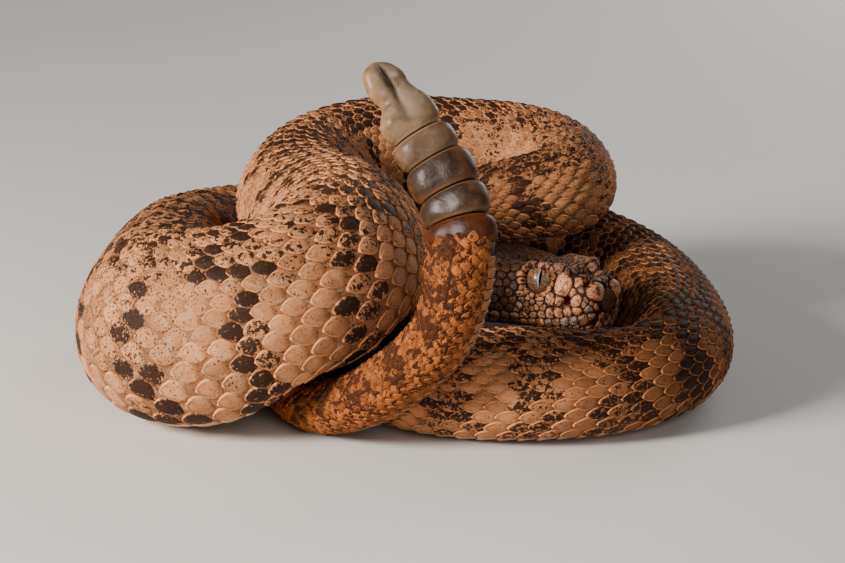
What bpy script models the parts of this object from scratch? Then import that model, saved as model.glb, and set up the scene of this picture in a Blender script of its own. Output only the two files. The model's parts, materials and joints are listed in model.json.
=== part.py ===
"""A young rattlesnake lying in a tight coil with its rattle raised, life size, as a still model.

The body is one tapering tube along a smooth curve through named bends. Where two turns of
the coil meet, each is pressed flat against the other, as soft bodies are. The head is the
first stretch of that tube, with outlines of its own, and the rattle stands on its far end.
Lengths are in millimetres until a mesh is made. -Y is the front and +Z is up.
"""

import math
from typing import NamedTuple

import bmesh
import bpy
import numpy as np

MM = 0.001

# Where the coil's own middle lies from the middle of the finished part's box
COIL_SHIFT = (-0.02, 1.93)

# Gaps between pieces, and how finely the body is divided
SEAM = 0.3
CONTACT_GAP = 0.5
RING_STEP = 3.4
SIDES = 22
PRESS_STEP = 1.2
PRESS_SHARPNESS = 10
NEIGHBOUR_REACH = 0.8

# The body's section is slightly triangular, and its belly is flat where it lies on the floor
RIDGE = 0.03
BELLY_FLAT = 0.05

# Head, measured back from the snout and out from the line through its middle
HEAD_LENGTH = 24.0
HEAD_STEP = 1.3
HEAD_SQUARENESS = 2.5
HEAD_ROLL = math.radians(5)
MOUTH_DROP = 2.0
MOUTH_LENGTH = 15.5
EYE_BACK = 7.9
EYE_OUT = 3.15
EYE_RISE = 2.75
EYE_RADIUS = 1.75

# Rattle
RATTLE_SIDES = 28
RATTLE_THICKNESS = 0.62
RATTLE_GROOVE = 0.10
BASE_HEIGHT = 3.0
BASE_BREADTH = 4.3
RING_HEIGHTS = (3.6, 4.3, 3.5)
RING_BREADTHS = (4.15, 4.05, 3.7)
BUTTON_LENGTH = 10.2
BUTTON_BREADTH = 3.5


class Bend(NamedTuple):
    """A place that the middle of the body passes through: its lift is the room under the body."""

    name: str
    x: float
    y: float
    lift: float
    radius: float

    @property
    def middle(self):
        """Height of the middle: what lies on the floor sinks a little, onto its flat."""
        sink = BELLY_FLAT * self.radius if self.lift == 0 else 0
        return self.lift + self.radius - sink


BODY = (
    Bend("snout", 23.9, -20.3, 10.6, 2.8),
    Bend("eyes", 18.0, -15.0, 8.8, 4.6),
    Bend("jaw", 12.2, -9.7, 7.8, 5.6),
    Bend("nape", 7.6, -5.3, 9.6, 4.4),
    Bend("neck", 4.9, -1.0, 12.3, 4.1),
    Bend("throat turn", 5.9, 3.3, 14.2, 4.4),
    Bend("near strand", 12.4, 3.3, 15.0, 5.3),
    Bend("small loop in", 19.5, 5.8, 15.2, 6.0),
    Bend("small loop", 20.0, 12.0, 15.9, 6.3),
    Bend("small loop out", 15.0, 17.5, 16.0, 6.7),
    Bend("top coil", 6.5, 19.6, 15.3, 7.2),
    Bend("top coil left", -2.0, 19.5, 14.2, 7.9),
    Bend("back turn in", -9.5, 15.5, 12.0, 8.7),
    Bend("back turn", -12.6, 8.0, 10.0, 9.3),
    Bend("saddle", -11.2, -1.0, 8.0, 10.1),
    Bend("fold top", -8.2, -9.5, 7.3, 10.8),
    Bend("fold", -7.8, -18.0, 6.8, 11.0),
    Bend("fold front", -11.0, -24.4, 5.2, 11.1),
    Bend("thick coil lifted", -17.3, -26.1, 2.8, 11.3),
    Bend("thick coil", -23.8, -24.5, 0.3, 11.8),
    Bend("left corner", -27.8, -18.9, 0.0, 11.9),
    Bend("left side", -28.6, -9.5, 0.0, 11.2),
    Bend("left back", -28.8, 2.0, 0.0, 10.5),
    Bend("back left corner", -26.4, 13.2, 0.0, 9.7),
    Bend("back left", -19.2, 21.6, 0.0, 9.1),
    Bend("back", -8.5, 27.5, 0.0, 8.6),
    Bend("back right", 7.5, 29.6, 0.0, 8.2),
    Bend("back right corner", 20.0, 24.2, 0.0, 7.8),
    Bend("right side back", 28.4, 12.5, 0.0, 7.5),
    Bend("right side", 32.3, -2.5, 0.0, 7.3),
    Bend("right corner", 32.0, -15.2, 0.0, 7.2),
    Bend("front right", 25.2, -25.0, 0.0, 7.1),
    Bend("front", 14.0, -28.4, 0.0, 6.9),
    Bend("front left", 4.5, -26.9, 0.0, 6.5),
    Bend("going under", -1.5, -21.5, 0.0, 6.0),
    Bend("inner strand", -2.0, -12.0, 0.0, 5.7),
    Bend("inner strand back", -1.0, -2.0, 0.0, 5.5),
    Bend("inner turn right", -2.6, 7.0, 0.0, 5.4),
    Bend("inner turn", -9.0, 10.4, 0.0, 5.3),
    Bend("inner turn left", -14.6, 6.0, 0.0, 5.2),
    Bend("return strand", -15.4, -3.0, 0.0, 5.0),
    Bend("vent", -14.6, -12.5, 0.0, 4.7),
    Bend("tail root", -13.0, -20.6, 0.0, 4.2),
    Bend("tail front", -10.2, -26.4, 0.0, 3.9),
    Bend("tail", -4.1, -32.8, 2.8, 3.9),
    Bend("tail rising", 1.3, -36.0, 7.5, 3.9),
    Bend("tail upright", 4.9, -37.7, 13.0, 4.0),
    Bend("tail end", 6.3, -36.4, 21.1, 4.3),
    Bend("rattle middle", 4.9, -32.9, 27.2, 3.9),
    Bend("button", 0.6, -28.7, 34.5, 3.5),
    Bend("rattle tip", -4.0, -25.3, 42.9, 1.2),
)

# Finishes: (colour, roughness)
SKIN_TAN = ((0.55, 0.30, 0.19), 0.55)
SKIN_BROWN = ((0.42, 0.22, 0.13), 0.55)
TAIL_ORANGE = ((0.58, 0.24, 0.08), 0.5)
HEAD_PINK = ((0.50, 0.30, 0.22), 0.6)
HORN = ((0.42, 0.33, 0.22), 0.3)
HORN_BASE = ((0.38, 0.17, 0.07), 0.35)
EYE_GLOSS = ((0.45, 0.36, 0.26), 0.1)

# The lengths that the body is parted into, each from one bend to the next named one
LENGTHS = (
    ("neck", None, "throat turn", SKIN_TAN),
    ("forebody_small_loop", "throat turn", "small loop out", SKIN_TAN),
    ("forebody_top_coil", "small loop out", "back turn", SKIN_TAN),
    ("midbody_fold", "back turn", "fold front", SKIN_TAN),
    ("midbody_thick_coil", "fold front", "left side", SKIN_TAN),
    ("midbody_left_coil", "left side", "back left", SKIN_TAN),
    ("hindbody_back_coil", "back left", "back right corner", SKIN_BROWN),
    ("hindbody_right_coil", "back right corner", "right corner", SKIN_BROWN),
    ("hindbody_front_coil", "right corner", "front left", SKIN_BROWN),
    ("hindbody_inner_strand", "front left", "inner turn right", SKIN_BROWN),
    ("hindbody_inner_turn", "inner turn right", "vent", SKIN_BROWN),
    ("tail", "vent", "tail end", TAIL_ORANGE),
)

# Head outline: distance back from the snout, half width, crown above and chin below the middle
HEAD_OUTLINE = (
    (0.0, 1.2, 1.5, 1.8),
    (0.3, 2.2, 2.5, 2.8),
    (1.0, 3.1, 3.4, 3.5),
    (2.4, 3.6, 3.9, 3.7),
    (4.6, 4.1, 4.3, 3.8),
    (7.9, 4.7, 4.8, 3.9),
    (11.0, 6.0, 4.8, 4.1),
    (14.5, 7.5, 4.6, 4.4),
    (17.5, 7.9, 4.4, 4.5),
    (20.2, 6.5, 4.2, 4.3),
    (22.3, 4.9, 4.1, 4.1),
    (24.0, 4.3, 4.2, 4.1),
)

# Rattle outlines: share of a segment's height and share of its breadth
BAND_OUTLINE = ((0.0, 0.86), (0.12, 0.97), (0.5, 1.0), (0.85, 0.97), (1.0, 0.86))
BUTTON_OUTLINE = (
    (0.0, 0.86),
    (0.08, 0.97),
    (0.18, 1.0),
    (0.32, 0.90),
    (0.45, 0.76),
    (0.56, 0.72),
    (0.72, 0.68),
    (0.84, 0.58),
    (0.93, 0.42),
    (1.0, 0.18),
)

def natural_spline(knots, values, places):
    """Smooth curve through the values at the knots, free of bending at both ends."""
    knots = np.asarray(knots, float)
    values = np.asarray(values, float)
    gaps = np.diff(knots)
    slopes = np.diff(values, axis=0) / gaps[:, None]
    count = len(knots)
    system = np.eye(count)
    right = np.zeros_like(values)
    for i in range(1, count - 1):
        system[i, i - 1 : i + 2] = gaps[i - 1], 2 * (gaps[i - 1] + gaps[i]), gaps[i]
        right[i] = 6 * (slopes[i] - slopes[i - 1])
    bends = np.linalg.solve(system, right)
    left = np.clip(np.searchsorted(knots, places) - 1, 0, count - 2)
    gap = gaps[left][:, None]
    after = (places - knots[left])[:, None]
    before = gap - after
    cubic = (bends[left] * before**3 + bends[left + 1] * after**3) / (6 * gap)
    start = values[left] / gap - bends[left] * gap / 6
    end = values[left + 1] / gap - bends[left + 1] * gap / 6
    return cubic + start * before + end * after


def smooth_step(value):
    """0 up to 0, 1 from 1, and a smooth rise between."""
    value = np.clip(value, 0.0, 1.0)
    return value * value * (3 - 2 * value)


class BodyLine:
    """The line through the middle of the body, with its radius and its upward direction."""

    def __init__(self):
        shift_x, shift_y = COIL_SHIFT
        rows = np.array([(b.x + shift_x, b.y + shift_y, b.middle, b.radius) for b in BODY])
        chords = np.linalg.norm(np.diff(rows[:, :3], axis=0), axis=1)
        knots = np.concatenate([[0], np.cumsum(np.sqrt(chords))])
        fine = natural_spline(knots, rows, np.linspace(0, knots[-1], 6000))
        steps = np.linalg.norm(np.diff(fine[:, :3], axis=0), axis=1)
        along = np.concatenate([[0], np.cumsum(steps)])
        self.length = along[-1]
        self.marks = {
            bend.name: float(np.interp(knot, np.linspace(0, knots[-1], 6000), along))
            for bend, knot in zip(BODY, knots)
        }
        self.along = np.linspace(0, self.length, 3000)
        self.rows = np.stack(
            [np.interp(self.along, along, fine[:, k]) for k in range(4)], axis=1
        )
        tangents = np.gradient(self.rows[:, :3], self.along, axis=0)
        self.tangents = tangents / np.linalg.norm(tangents, axis=1)[:, None]
        self.ups = self.carry_up()

    def carry_up(self):
        """The back's direction: straight up along the floor, carried on where the tail rises."""
        ups = np.empty_like(self.tangents)
        up = np.array([0.0, 0.0, 1.0])
        for i, tangent in enumerate(self.tangents):
            up = up - (up @ tangent) * tangent
            up /= np.linalg.norm(up)
            level = np.array([0.0, 0.0, 1.0]) - tangent[2] * tangent
            steady = np.linalg.norm(level)
            share = 0.03 * float(smooth_step((steady - 0.55) / 0.3))
            up = up * (1 - share) + level / max(steady, 1e-6) * share
            up /= np.linalg.norm(up)
            ups[i] = up
        roll = HEAD_ROLL * smooth_step((HEAD_LENGTH + 6 - self.along) / 12)
        sides = np.cross(self.tangents, ups)
        return ups * np.cos(roll)[:, None] + sides * np.sin(roll)[:, None]

    def at(self, places):
        """Middle, radius, tangent, side and up at distances from the snout."""
        places = np.atleast_1d(np.asarray(places, float))

        def read(table):
            return np.stack(
                [np.interp(places, self.along, column) for column in table.T], axis=1
            )

        rows = read(self.rows)
        tangents = read(self.tangents)
        tangents /= np.linalg.norm(tangents, axis=1)[:, None]
        ups = read(self.ups)
        ups -= np.sum(ups * tangents, axis=1)[:, None] * tangents
        ups /= np.linalg.norm(ups, axis=1)[:, None]
        return rows[:, :3], rows[:, 3], tangents, np.cross(tangents, ups), ups


def pressed_reach(line, places, reach, directions):
    """How far the body reaches in each direction, held back from the turns that it touches.

    A plane stands between each two stretches of the body, parting the room between them by
    their radii, and no point passes it.
    """
    middles, radii, _, _, _ = line.at(places)
    others = np.arange(0, line.marks["tail end"], PRESS_STEP)
    other_middles, other_radii, _, _, _ = line.at(others)
    held = np.empty(reach.shape)
    for i, place in enumerate(places):
        apart = np.abs(others - place) > NEIGHBOUR_REACH * radii[i]
        away = other_middles[apart] - middles[i]
        distance = np.linalg.norm(away, axis=1)
        share = radii[i] / (radii[i] + other_radii[apart])
        room = distance * share - CONTACT_GAP / 2
        facing = directions[i] @ (away / distance[:, None]).T
        limits = np.where(facing > 0.05, room / np.maximum(facing, 0.05), 1e3)
        limit = np.maximum(limits.min(axis=1), 0.6)
        power = PRESS_SHARPNESS
        held[i] = (reach[i] ** -power + limit**-power) ** (-1 / power)
    return held


def body_rings(line, places):
    """Rings of points round the body, pressed by its other turns and flat on the floor."""
    middles, radii, _, sides, ups = line.at(places)
    angles = (np.arange(SIDES) + 0.5) * 2 * math.pi / SIDES
    directions = (
        np.cos(angles)[None, :, None] * ups[:, None]
        + np.sin(angles)[None, :, None] * sides[:, None]
    )
    shape = 1 + RIDGE * np.cos(3 * angles)
    reach = pressed_reach(line, places, radii[:, None] * shape[None], directions)
    return middles[:, None] + directions * reach[..., None]


def head_rings(line, places):
    """Rings of points round the head, squarer than the body's and set by its outline."""
    middles, _, _, sides, ups = line.at(places)
    outline = np.array(HEAD_OUTLINE)
    width, crown, chin = (
        np.interp(places, outline[:, 0], outline[:, k]) for k in (1, 2, 3)
    )
    angles = np.arange(SIDES) * 2 * math.pi / SIDES
    rise, out = np.cos(angles), np.sin(angles)
    height = np.where(rise[None] > 0, crown[:, None], chin[:, None])
    power = HEAD_SQUARENESS
    size = (
        (np.abs(out)[None] / width[:, None]) ** power
        + (np.abs(rise)[None] / height) ** power
    ) ** (-1 / power)
    return (
        middles[:, None]
        + ups[:, None] * (size * rise[None])[..., None]
        + sides[:, None] * (size * out[None])[..., None]
    )


def mesh_object(name, mesh_builder, finish):
    """An object from a bmesh in millimetres, shaded smooth, in a material of its own."""
    bmesh.ops.recalc_face_normals(mesh_builder, faces=mesh_builder.faces)
    bmesh.ops.scale(mesh_builder, vec=(MM, MM, MM), verts=mesh_builder.verts)
    mesh = bpy.data.meshes.new(name)
    mesh_builder.to_mesh(mesh)
    mesh_builder.free()
    mesh.shade_smooth()
    colour, roughness = finish
    material = bpy.data.materials.new(name)
    material.use_nodes = True
    shader = material.node_tree.nodes["Principled BSDF"]
    shader.inputs["Base Color"].default_value = (*colour, 1)
    shader.inputs["Roughness"].default_value = roughness
    mesh.materials.append(material)
    return bpy.data.objects.new(name, mesh)


def loft(rings):
    """A closed skin over rings of points, with a fan over each end."""
    shape = bmesh.new()
    loops = [[shape.verts.new(point) for point in ring] for ring in rings]
    sides = len(loops[0])
    for near, far in zip(loops, loops[1:]):
        for i in range(sides):
            j = (i + 1) % sides
            shape.faces.new((near[i], near[j], far[j], far[i]))
    for loop, ring in ((loops[0], rings[0]), (loops[-1], rings[-1])):
        middle = shape.verts.new(np.mean(ring, axis=0))
        for i in range(sides):
            shape.faces.new((middle, loop[i], loop[(i + 1) % sides]))
    return shape


def stretch_places(start, end, step):
    """Evenly spaced distances from start to end, about a step apart."""
    return np.linspace(start, end, max(3, round((end - start) / step) + 1))


def body_length(line, name, start, end, finish):
    """One length of the body, its end faces square to the line and half a seam short."""
    places = stretch_places(start, end, RING_STEP)
    rings = body_rings(line, places)
    _, _, tangents, _, _ = line.at([start, end])
    rings[0] += tangents[0] * SEAM / 2
    rings[-1] -= tangents[1] * SEAM / 2
    rings[..., 2] = np.maximum(rings[..., 2], 0.0)
    return mesh_object(name, loft(rings), finish)


def box_between(low, high, frame):
    """A box between two corners of a frame given by its origin and its three directions."""
    origin, forward, side, up = frame
    shape = bmesh.new()
    bmesh.ops.create_cube(shape, size=1)
    for vert in shape.verts:
        spot = [low[k] if vert.co[k] < 0 else high[k] for k in range(3)]
        vert.co = origin + forward * spot[0] + side * spot[1] + up * spot[2]
    return shape


def add_cut(target, cutter, operation):
    """A Boolean on the target that cuts with, or keeps only, what the cutter holds."""
    modifier = target.modifiers.new(cutter.name, "BOOLEAN")
    modifier.operation = operation
    modifier.object = cutter
    modifier.solver = "EXACT"


def build_head(line):
    """Head and lower jaw from one form, parted along the mouth, and the two eyes."""
    places = np.concatenate(
        [[row[0] for row in HEAD_OUTLINE[:4]], stretch_places(3.6, HEAD_LENGTH, HEAD_STEP)]
    )
    rings = head_rings(line, places)
    _, _, tangents, _, _ = line.at([HEAD_LENGTH])
    rings[-1] -= tangents[0] * SEAM / 2
    head = mesh_object("head", loft(rings), HEAD_PINK)
    jaw = mesh_object("lower_jaw", loft(rings), HEAD_PINK)

    middles, _, tangents, sides, ups = line.at([MOUTH_LENGTH / 2])
    start = middles[0] - tangents[0] * MOUTH_LENGTH / 2
    frame = (start, tangents[0], sides[0], ups[0])
    wide, ahead, deep = 12.0, -4.0, -9.0
    jaw_room = box_between(
        (ahead, -wide, deep), (MOUTH_LENGTH, wide, -MOUTH_DROP), frame
    )
    jaw_keep = box_between(
        (ahead, -wide, deep), (MOUTH_LENGTH - SEAM, wide, -MOUTH_DROP - SEAM), frame
    )
    cutters = [
        mesh_object("jaw_room", jaw_room, HEAD_PINK),
        mesh_object("jaw_keep", jaw_keep, HEAD_PINK),
    ]
    add_cut(head, cutters[0], "DIFFERENCE")
    add_cut(jaw, cutters[1], "INTERSECT")

    eyes = []
    middles, _, _, sides, ups = line.at([EYE_BACK])
    for name, hand in (("eye_left", 1), ("eye_right", -1)):
        centre = middles[0] + sides[0] * EYE_OUT * hand + ups[0] * EYE_RISE
        for kind, radius in (("socket", EYE_RADIUS + SEAM), ("ball", EYE_RADIUS)):
            shape = bmesh.new()
            bmesh.ops.create_uvsphere(shape, u_segments=16, v_segments=10, radius=radius)
            bmesh.ops.translate(shape, vec=centre, verts=shape.verts)
            if kind == "ball":
                eyes.append(mesh_object(name, shape, EYE_GLOSS))
            else:
                cutters.append(mesh_object(f"{name}_socket", shape, HEAD_PINK))
                add_cut(head, cutters[-1], "DIFFERENCE")
    return [head, jaw, *eyes], cutters


def rattle_rings(line, places, breadths, groove):
    """Flattened rings round the rattle's line, grooved along the middle of each broad side."""
    middles, _, _, sides, ups = line.at(places)
    angles = np.arange(RATTLE_SIDES) * 2 * math.pi / RATTLE_SIDES
    waist = 1 - groove * np.sin(angles) ** 8
    broad = np.asarray(breadths)[:, None]
    return (
        middles[:, None]
        + ups[:, None] * (broad * np.cos(angles))[..., None]
        + sides[:, None] * (broad * RATTLE_THICKNESS * waist * np.sin(angles))[..., None]
    )


def build_rattle(line):
    """The base segment, the loose rings and the button, one over another up the rattle."""
    pieces = []
    foot = line.marks["tail end"]
    segments = [
        ("rattle_base", BASE_HEIGHT, BASE_BREADTH, BAND_OUTLINE, 1, HORN_BASE),
        *(
            (f"rattle_ring_{number}", height, breadth, BAND_OUTLINE, 1, HORN)
            for number, (height, breadth) in enumerate(zip(RING_HEIGHTS, RING_BREADTHS), 1)
        ),
        ("rattle_button", BUTTON_LENGTH, BUTTON_BREADTH, BUTTON_OUTLINE, 2, HORN),
    ]
    for name, height, breadth, outline, depth, finish in segments:
        rows = np.array(outline)
        places = foot + SEAM / 2 + rows[:, 0] * (height - SEAM)
        rings = rattle_rings(line, places, breadth * rows[:, 1], depth * RATTLE_GROOVE)
        pieces.append(mesh_object(name, loft(rings), finish))
        foot += height
    return pieces


def build_body(line):
    """The neck, the trunk's lengths and the tail."""
    pieces = []
    for name, first, last, finish in LENGTHS:
        start = HEAD_LENGTH if first is None else line.marks[first]
        pieces.append(body_length(line, name, start, line.marks[last], finish))
    return pieces


def main():
    for obj in list(bpy.data.objects):
        bpy.data.objects.remove(obj)
    parts = bpy.data.collections.new("coiled_rattlesnake")
    helpers = bpy.data.collections.new("cutters")
    bpy.context.scene.collection.children.link(parts)
    bpy.context.scene.collection.children.link(helpers)
    helpers.hide_render = True

    line = BodyLine()
    head, cutters = build_head(line)
    for piece in head + build_body(line) + build_rattle(line):
        parts.objects.link(piece)
    for cutter in cutters:
        cutter.hide_render = True
        cutter.display_type = "WIRE"
        helpers.objects.link(cutter)


main()
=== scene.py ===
"""The looks of a young rattlesnake lying in a tight coil with its rattle raised.

One skin covers the whole animal. Solid scales lie over it, belly plates under it, and plates and
granules on the head. The eyes and the horn of the rattle are pieces of their own. Lengths are in
millimetres until a mesh is made. -Y is the front and +Z is up.
"""

from __future__ import annotations

import json
import logging
import math
from dataclasses import dataclass, field
from enum import Enum
from typing import Any, Iterable, NamedTuple, Sequence

import bmesh
import bpy
import numpy as np
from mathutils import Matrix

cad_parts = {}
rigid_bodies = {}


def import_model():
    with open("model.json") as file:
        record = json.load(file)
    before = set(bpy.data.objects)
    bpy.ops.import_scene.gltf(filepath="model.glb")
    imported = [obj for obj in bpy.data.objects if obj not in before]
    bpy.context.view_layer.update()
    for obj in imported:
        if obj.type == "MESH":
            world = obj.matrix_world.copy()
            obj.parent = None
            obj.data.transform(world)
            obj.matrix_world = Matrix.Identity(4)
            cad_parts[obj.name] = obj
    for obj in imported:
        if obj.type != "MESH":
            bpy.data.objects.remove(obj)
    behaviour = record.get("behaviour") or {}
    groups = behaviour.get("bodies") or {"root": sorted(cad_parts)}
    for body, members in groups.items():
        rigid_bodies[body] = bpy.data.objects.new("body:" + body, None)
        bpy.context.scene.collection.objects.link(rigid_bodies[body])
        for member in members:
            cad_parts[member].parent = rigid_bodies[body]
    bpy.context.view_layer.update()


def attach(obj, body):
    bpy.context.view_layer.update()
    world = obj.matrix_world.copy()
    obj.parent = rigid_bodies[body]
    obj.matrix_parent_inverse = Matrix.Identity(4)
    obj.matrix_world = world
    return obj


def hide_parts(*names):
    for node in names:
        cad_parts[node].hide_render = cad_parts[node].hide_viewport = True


for startup_object in list(bpy.data.objects):
    bpy.data.objects.remove(startup_object)
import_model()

log = logging.getLogger("coiled_rattlesnake")

MM = 0.001
TURN = 2 * math.pi
BODY_OF_ALL = "root"

# Lengths in millimetres: beyond everything, where the tail's pattern starts, the rattle's base
FAR = 50.0
TAIL_START = 386.0
BASE_HEIGHT = 3.0
BASE_BREADTH = 4.3
# Share of its breadth that the rattle is thick
RATTLE_THICKNESS = 0.62

Array = np.ndarray
Colour = tuple[float, float, float]
Piece = bpy.types.Object
Material = bpy.types.Material
Socket = bpy.types.NodeSocket
Settings = dict[str | int, Any]


class Bend(NamedTuple):
    """A place that the middle of the body passes through: its lift is the room under the body."""

    name: str
    x: float
    y: float
    lift: float
    radius: float


BODY = (
    Bend("snout", 23.9, -20.3, 10.6, 2.8),
    Bend("eyes", 18.0, -15.0, 8.8, 4.6),
    Bend("jaw", 12.2, -9.7, 7.8, 5.6),
    Bend("nape", 7.6, -5.3, 9.6, 4.4),
    Bend("neck", 4.9, -1.0, 12.3, 4.1),
    Bend("throat turn", 5.9, 3.3, 14.2, 4.4),
    Bend("near strand", 12.4, 3.3, 15.0, 5.3),
    Bend("small loop in", 19.5, 5.8, 15.2, 6.0),
    Bend("small loop", 20.0, 12.0, 15.9, 6.3),
    Bend("small loop out", 15.0, 17.5, 16.0, 6.7),
    Bend("top coil", 6.5, 19.6, 15.3, 7.2),
    Bend("top coil left", -2.0, 19.5, 14.2, 7.9),
    Bend("back turn in", -9.5, 15.5, 12.0, 8.7),
    Bend("back turn", -12.6, 8.0, 10.0, 9.3),
    Bend("saddle", -11.2, -1.0, 8.0, 10.1),
    Bend("fold top", -8.2, -9.5, 7.3, 10.8),
    Bend("fold", -7.8, -18.0, 6.8, 11.0),
    Bend("fold front", -11.0, -24.4, 5.2, 11.1),
    Bend("thick coil lifted", -17.3, -26.1, 2.8, 11.3),
    Bend("thick coil", -23.8, -24.5, 0.3, 11.8),
    Bend("left corner", -27.8, -18.9, 0.0, 11.9),
    Bend("left side", -28.6, -9.5, 0.0, 11.2),
    Bend("left back", -28.8, 2.0, 0.0, 10.5),
    Bend("back left corner", -26.4, 13.2, 0.0, 9.7),
    Bend("back left", -19.2, 21.6, 0.0, 9.1),
    Bend("back", -8.5, 27.5, 0.0, 8.6),
    Bend("back right", 7.5, 29.6, 0.0, 8.2),
    Bend("back right corner", 20.0, 24.2, 0.0, 7.8),
    Bend("right side back", 28.4, 12.5, 0.0, 7.5),
    Bend("right side", 32.3, -2.5, 0.0, 7.3),
    Bend("right corner", 32.0, -15.2, 0.0, 7.2),
    Bend("front right", 25.2, -25.0, 0.0, 7.1),
    Bend("front", 14.0, -28.4, 0.0, 6.9),
    Bend("front left", 4.5, -26.9, 0.0, 6.5),
    Bend("going under", -1.5, -21.5, 0.0, 6.0),
    Bend("inner strand", -2.0, -12.0, 0.0, 5.7),
    Bend("inner strand back", -1.0, -2.0, 0.0, 5.5),
    Bend("inner turn right", -2.6, 7.0, 0.0, 5.4),
    Bend("inner turn", -9.0, 10.4, 0.0, 5.3),
    Bend("inner turn left", -14.6, 6.0, 0.0, 5.2),
    Bend("return strand", -15.4, -3.0, 0.0, 5.0),
    Bend("vent", -14.6, -12.5, 0.0, 4.7),
    Bend("tail root", -13.0, -20.6, 0.0, 4.2),
    Bend("tail front", -10.2, -26.4, 0.0, 3.9),
    Bend("tail", -4.1, -32.8, 2.8, 3.9),
    Bend("tail rising", 1.3, -36.0, 7.5, 3.9),
    Bend("tail upright", 4.9, -37.7, 13.0, 4.0),
    Bend("tail end", 6.3, -36.4, 21.1, 4.3),
    Bend("rattle middle", 4.9, -32.9, 27.2, 3.9),
    Bend("button", 0.6, -28.7, 34.5, 3.5),
    Bend("rattle tip", -4.0, -25.3, 42.9, 1.2),
)

# The scales' lengths of the body, each from the end of the one before: piece, last bend, slot
LENGTHS = (
    ("neck_scales", "throat turn", "skin_tan"),
    ("small_loop_scales", "small loop out", "skin_tan"),
    ("top_coil_scales", "back turn", "skin_tan"),
    ("fold_scales", "fold front", "skin_tan"),
    ("thick_coil_scales", "left side", "skin_tan"),
    ("left_coil_scales", "back left", "skin_tan"),
    ("back_coil_scales", "back right corner", "skin_brown"),
    ("right_coil_scales", "right corner", "skin_brown"),
    ("front_coil_scales", "front left", "skin_brown"),
    ("inner_strand_scales", "inner turn right", "skin_brown"),
    ("inner_turn_scales", "vent", "skin_brown"),
    ("tail_scales", None, "skin_tail"),
)

# The solids that the one skin stands for
FLESH_NODES = (
    *("head", "lower_jaw", "neck", "tail"),
    *(f"forebody_{part}" for part in ("small_loop", "top_coil")),
    *(f"midbody_{part}" for part in ("fold", "thick_coil", "left_coil")),
    *(f"hindbody_{part}_coil" for part in ("back", "right", "front")),
    *("hindbody_inner_strand", "hindbody_inner_turn"),
)


def natural_spline(knots: Array, values: Array, places: Array) -> Array:
    """Smooth curve through the values at the knots, free of bending at both ends.

    Args:
        knots: Rising places of the values.
        values: One row of numbers for each knot.
        places: Where the curve is read.

    Returns:
        One row of numbers for each place.
    """
    gaps = np.diff(knots)
    slopes = np.diff(values, axis=0) / gaps[:, None]
    count = len(knots)
    system = np.eye(count)
    right = np.zeros_like(values)
    for i in range(1, count - 1):
        system[i, i - 1 : i + 2] = gaps[i - 1], 2 * (gaps[i - 1] + gaps[i]), gaps[i]
        right[i] = 6 * (slopes[i] - slopes[i - 1])
    bends = np.linalg.solve(system, right)
    left = np.clip(np.searchsorted(knots, places) - 1, 0, count - 2)
    gap = gaps[left][:, None]
    after = (places - knots[left])[:, None]
    before = gap - after
    cubic = (bends[left] * before**3 + bends[left + 1] * after**3) / (6 * gap)
    start = values[left] / gap - bends[left] * gap / 6
    end = values[left + 1] / gap - bends[left + 1] * gap / 6
    return cubic + start * before + end * after


def ramp(value: Any, start: float = 0.0, length: float = 1.0) -> Any:
    """0 up to the start, 1 from a length past it, and a smooth rise between."""
    share = np.clip((value - start) / length, 0.0, 1.0)
    return share * share * (3 - 2 * share)


def bell(value: Any, width: float) -> Any:
    """1 at 0, falling to about a third at the width on either side."""
    return np.exp(-((value / width) ** 2))


def unit(vectors: Array) -> Array:
    """The vectors of the last axis, each one long."""
    return vectors / np.maximum(np.linalg.norm(vectors, axis=-1, keepdims=True), 1e-12)


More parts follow.
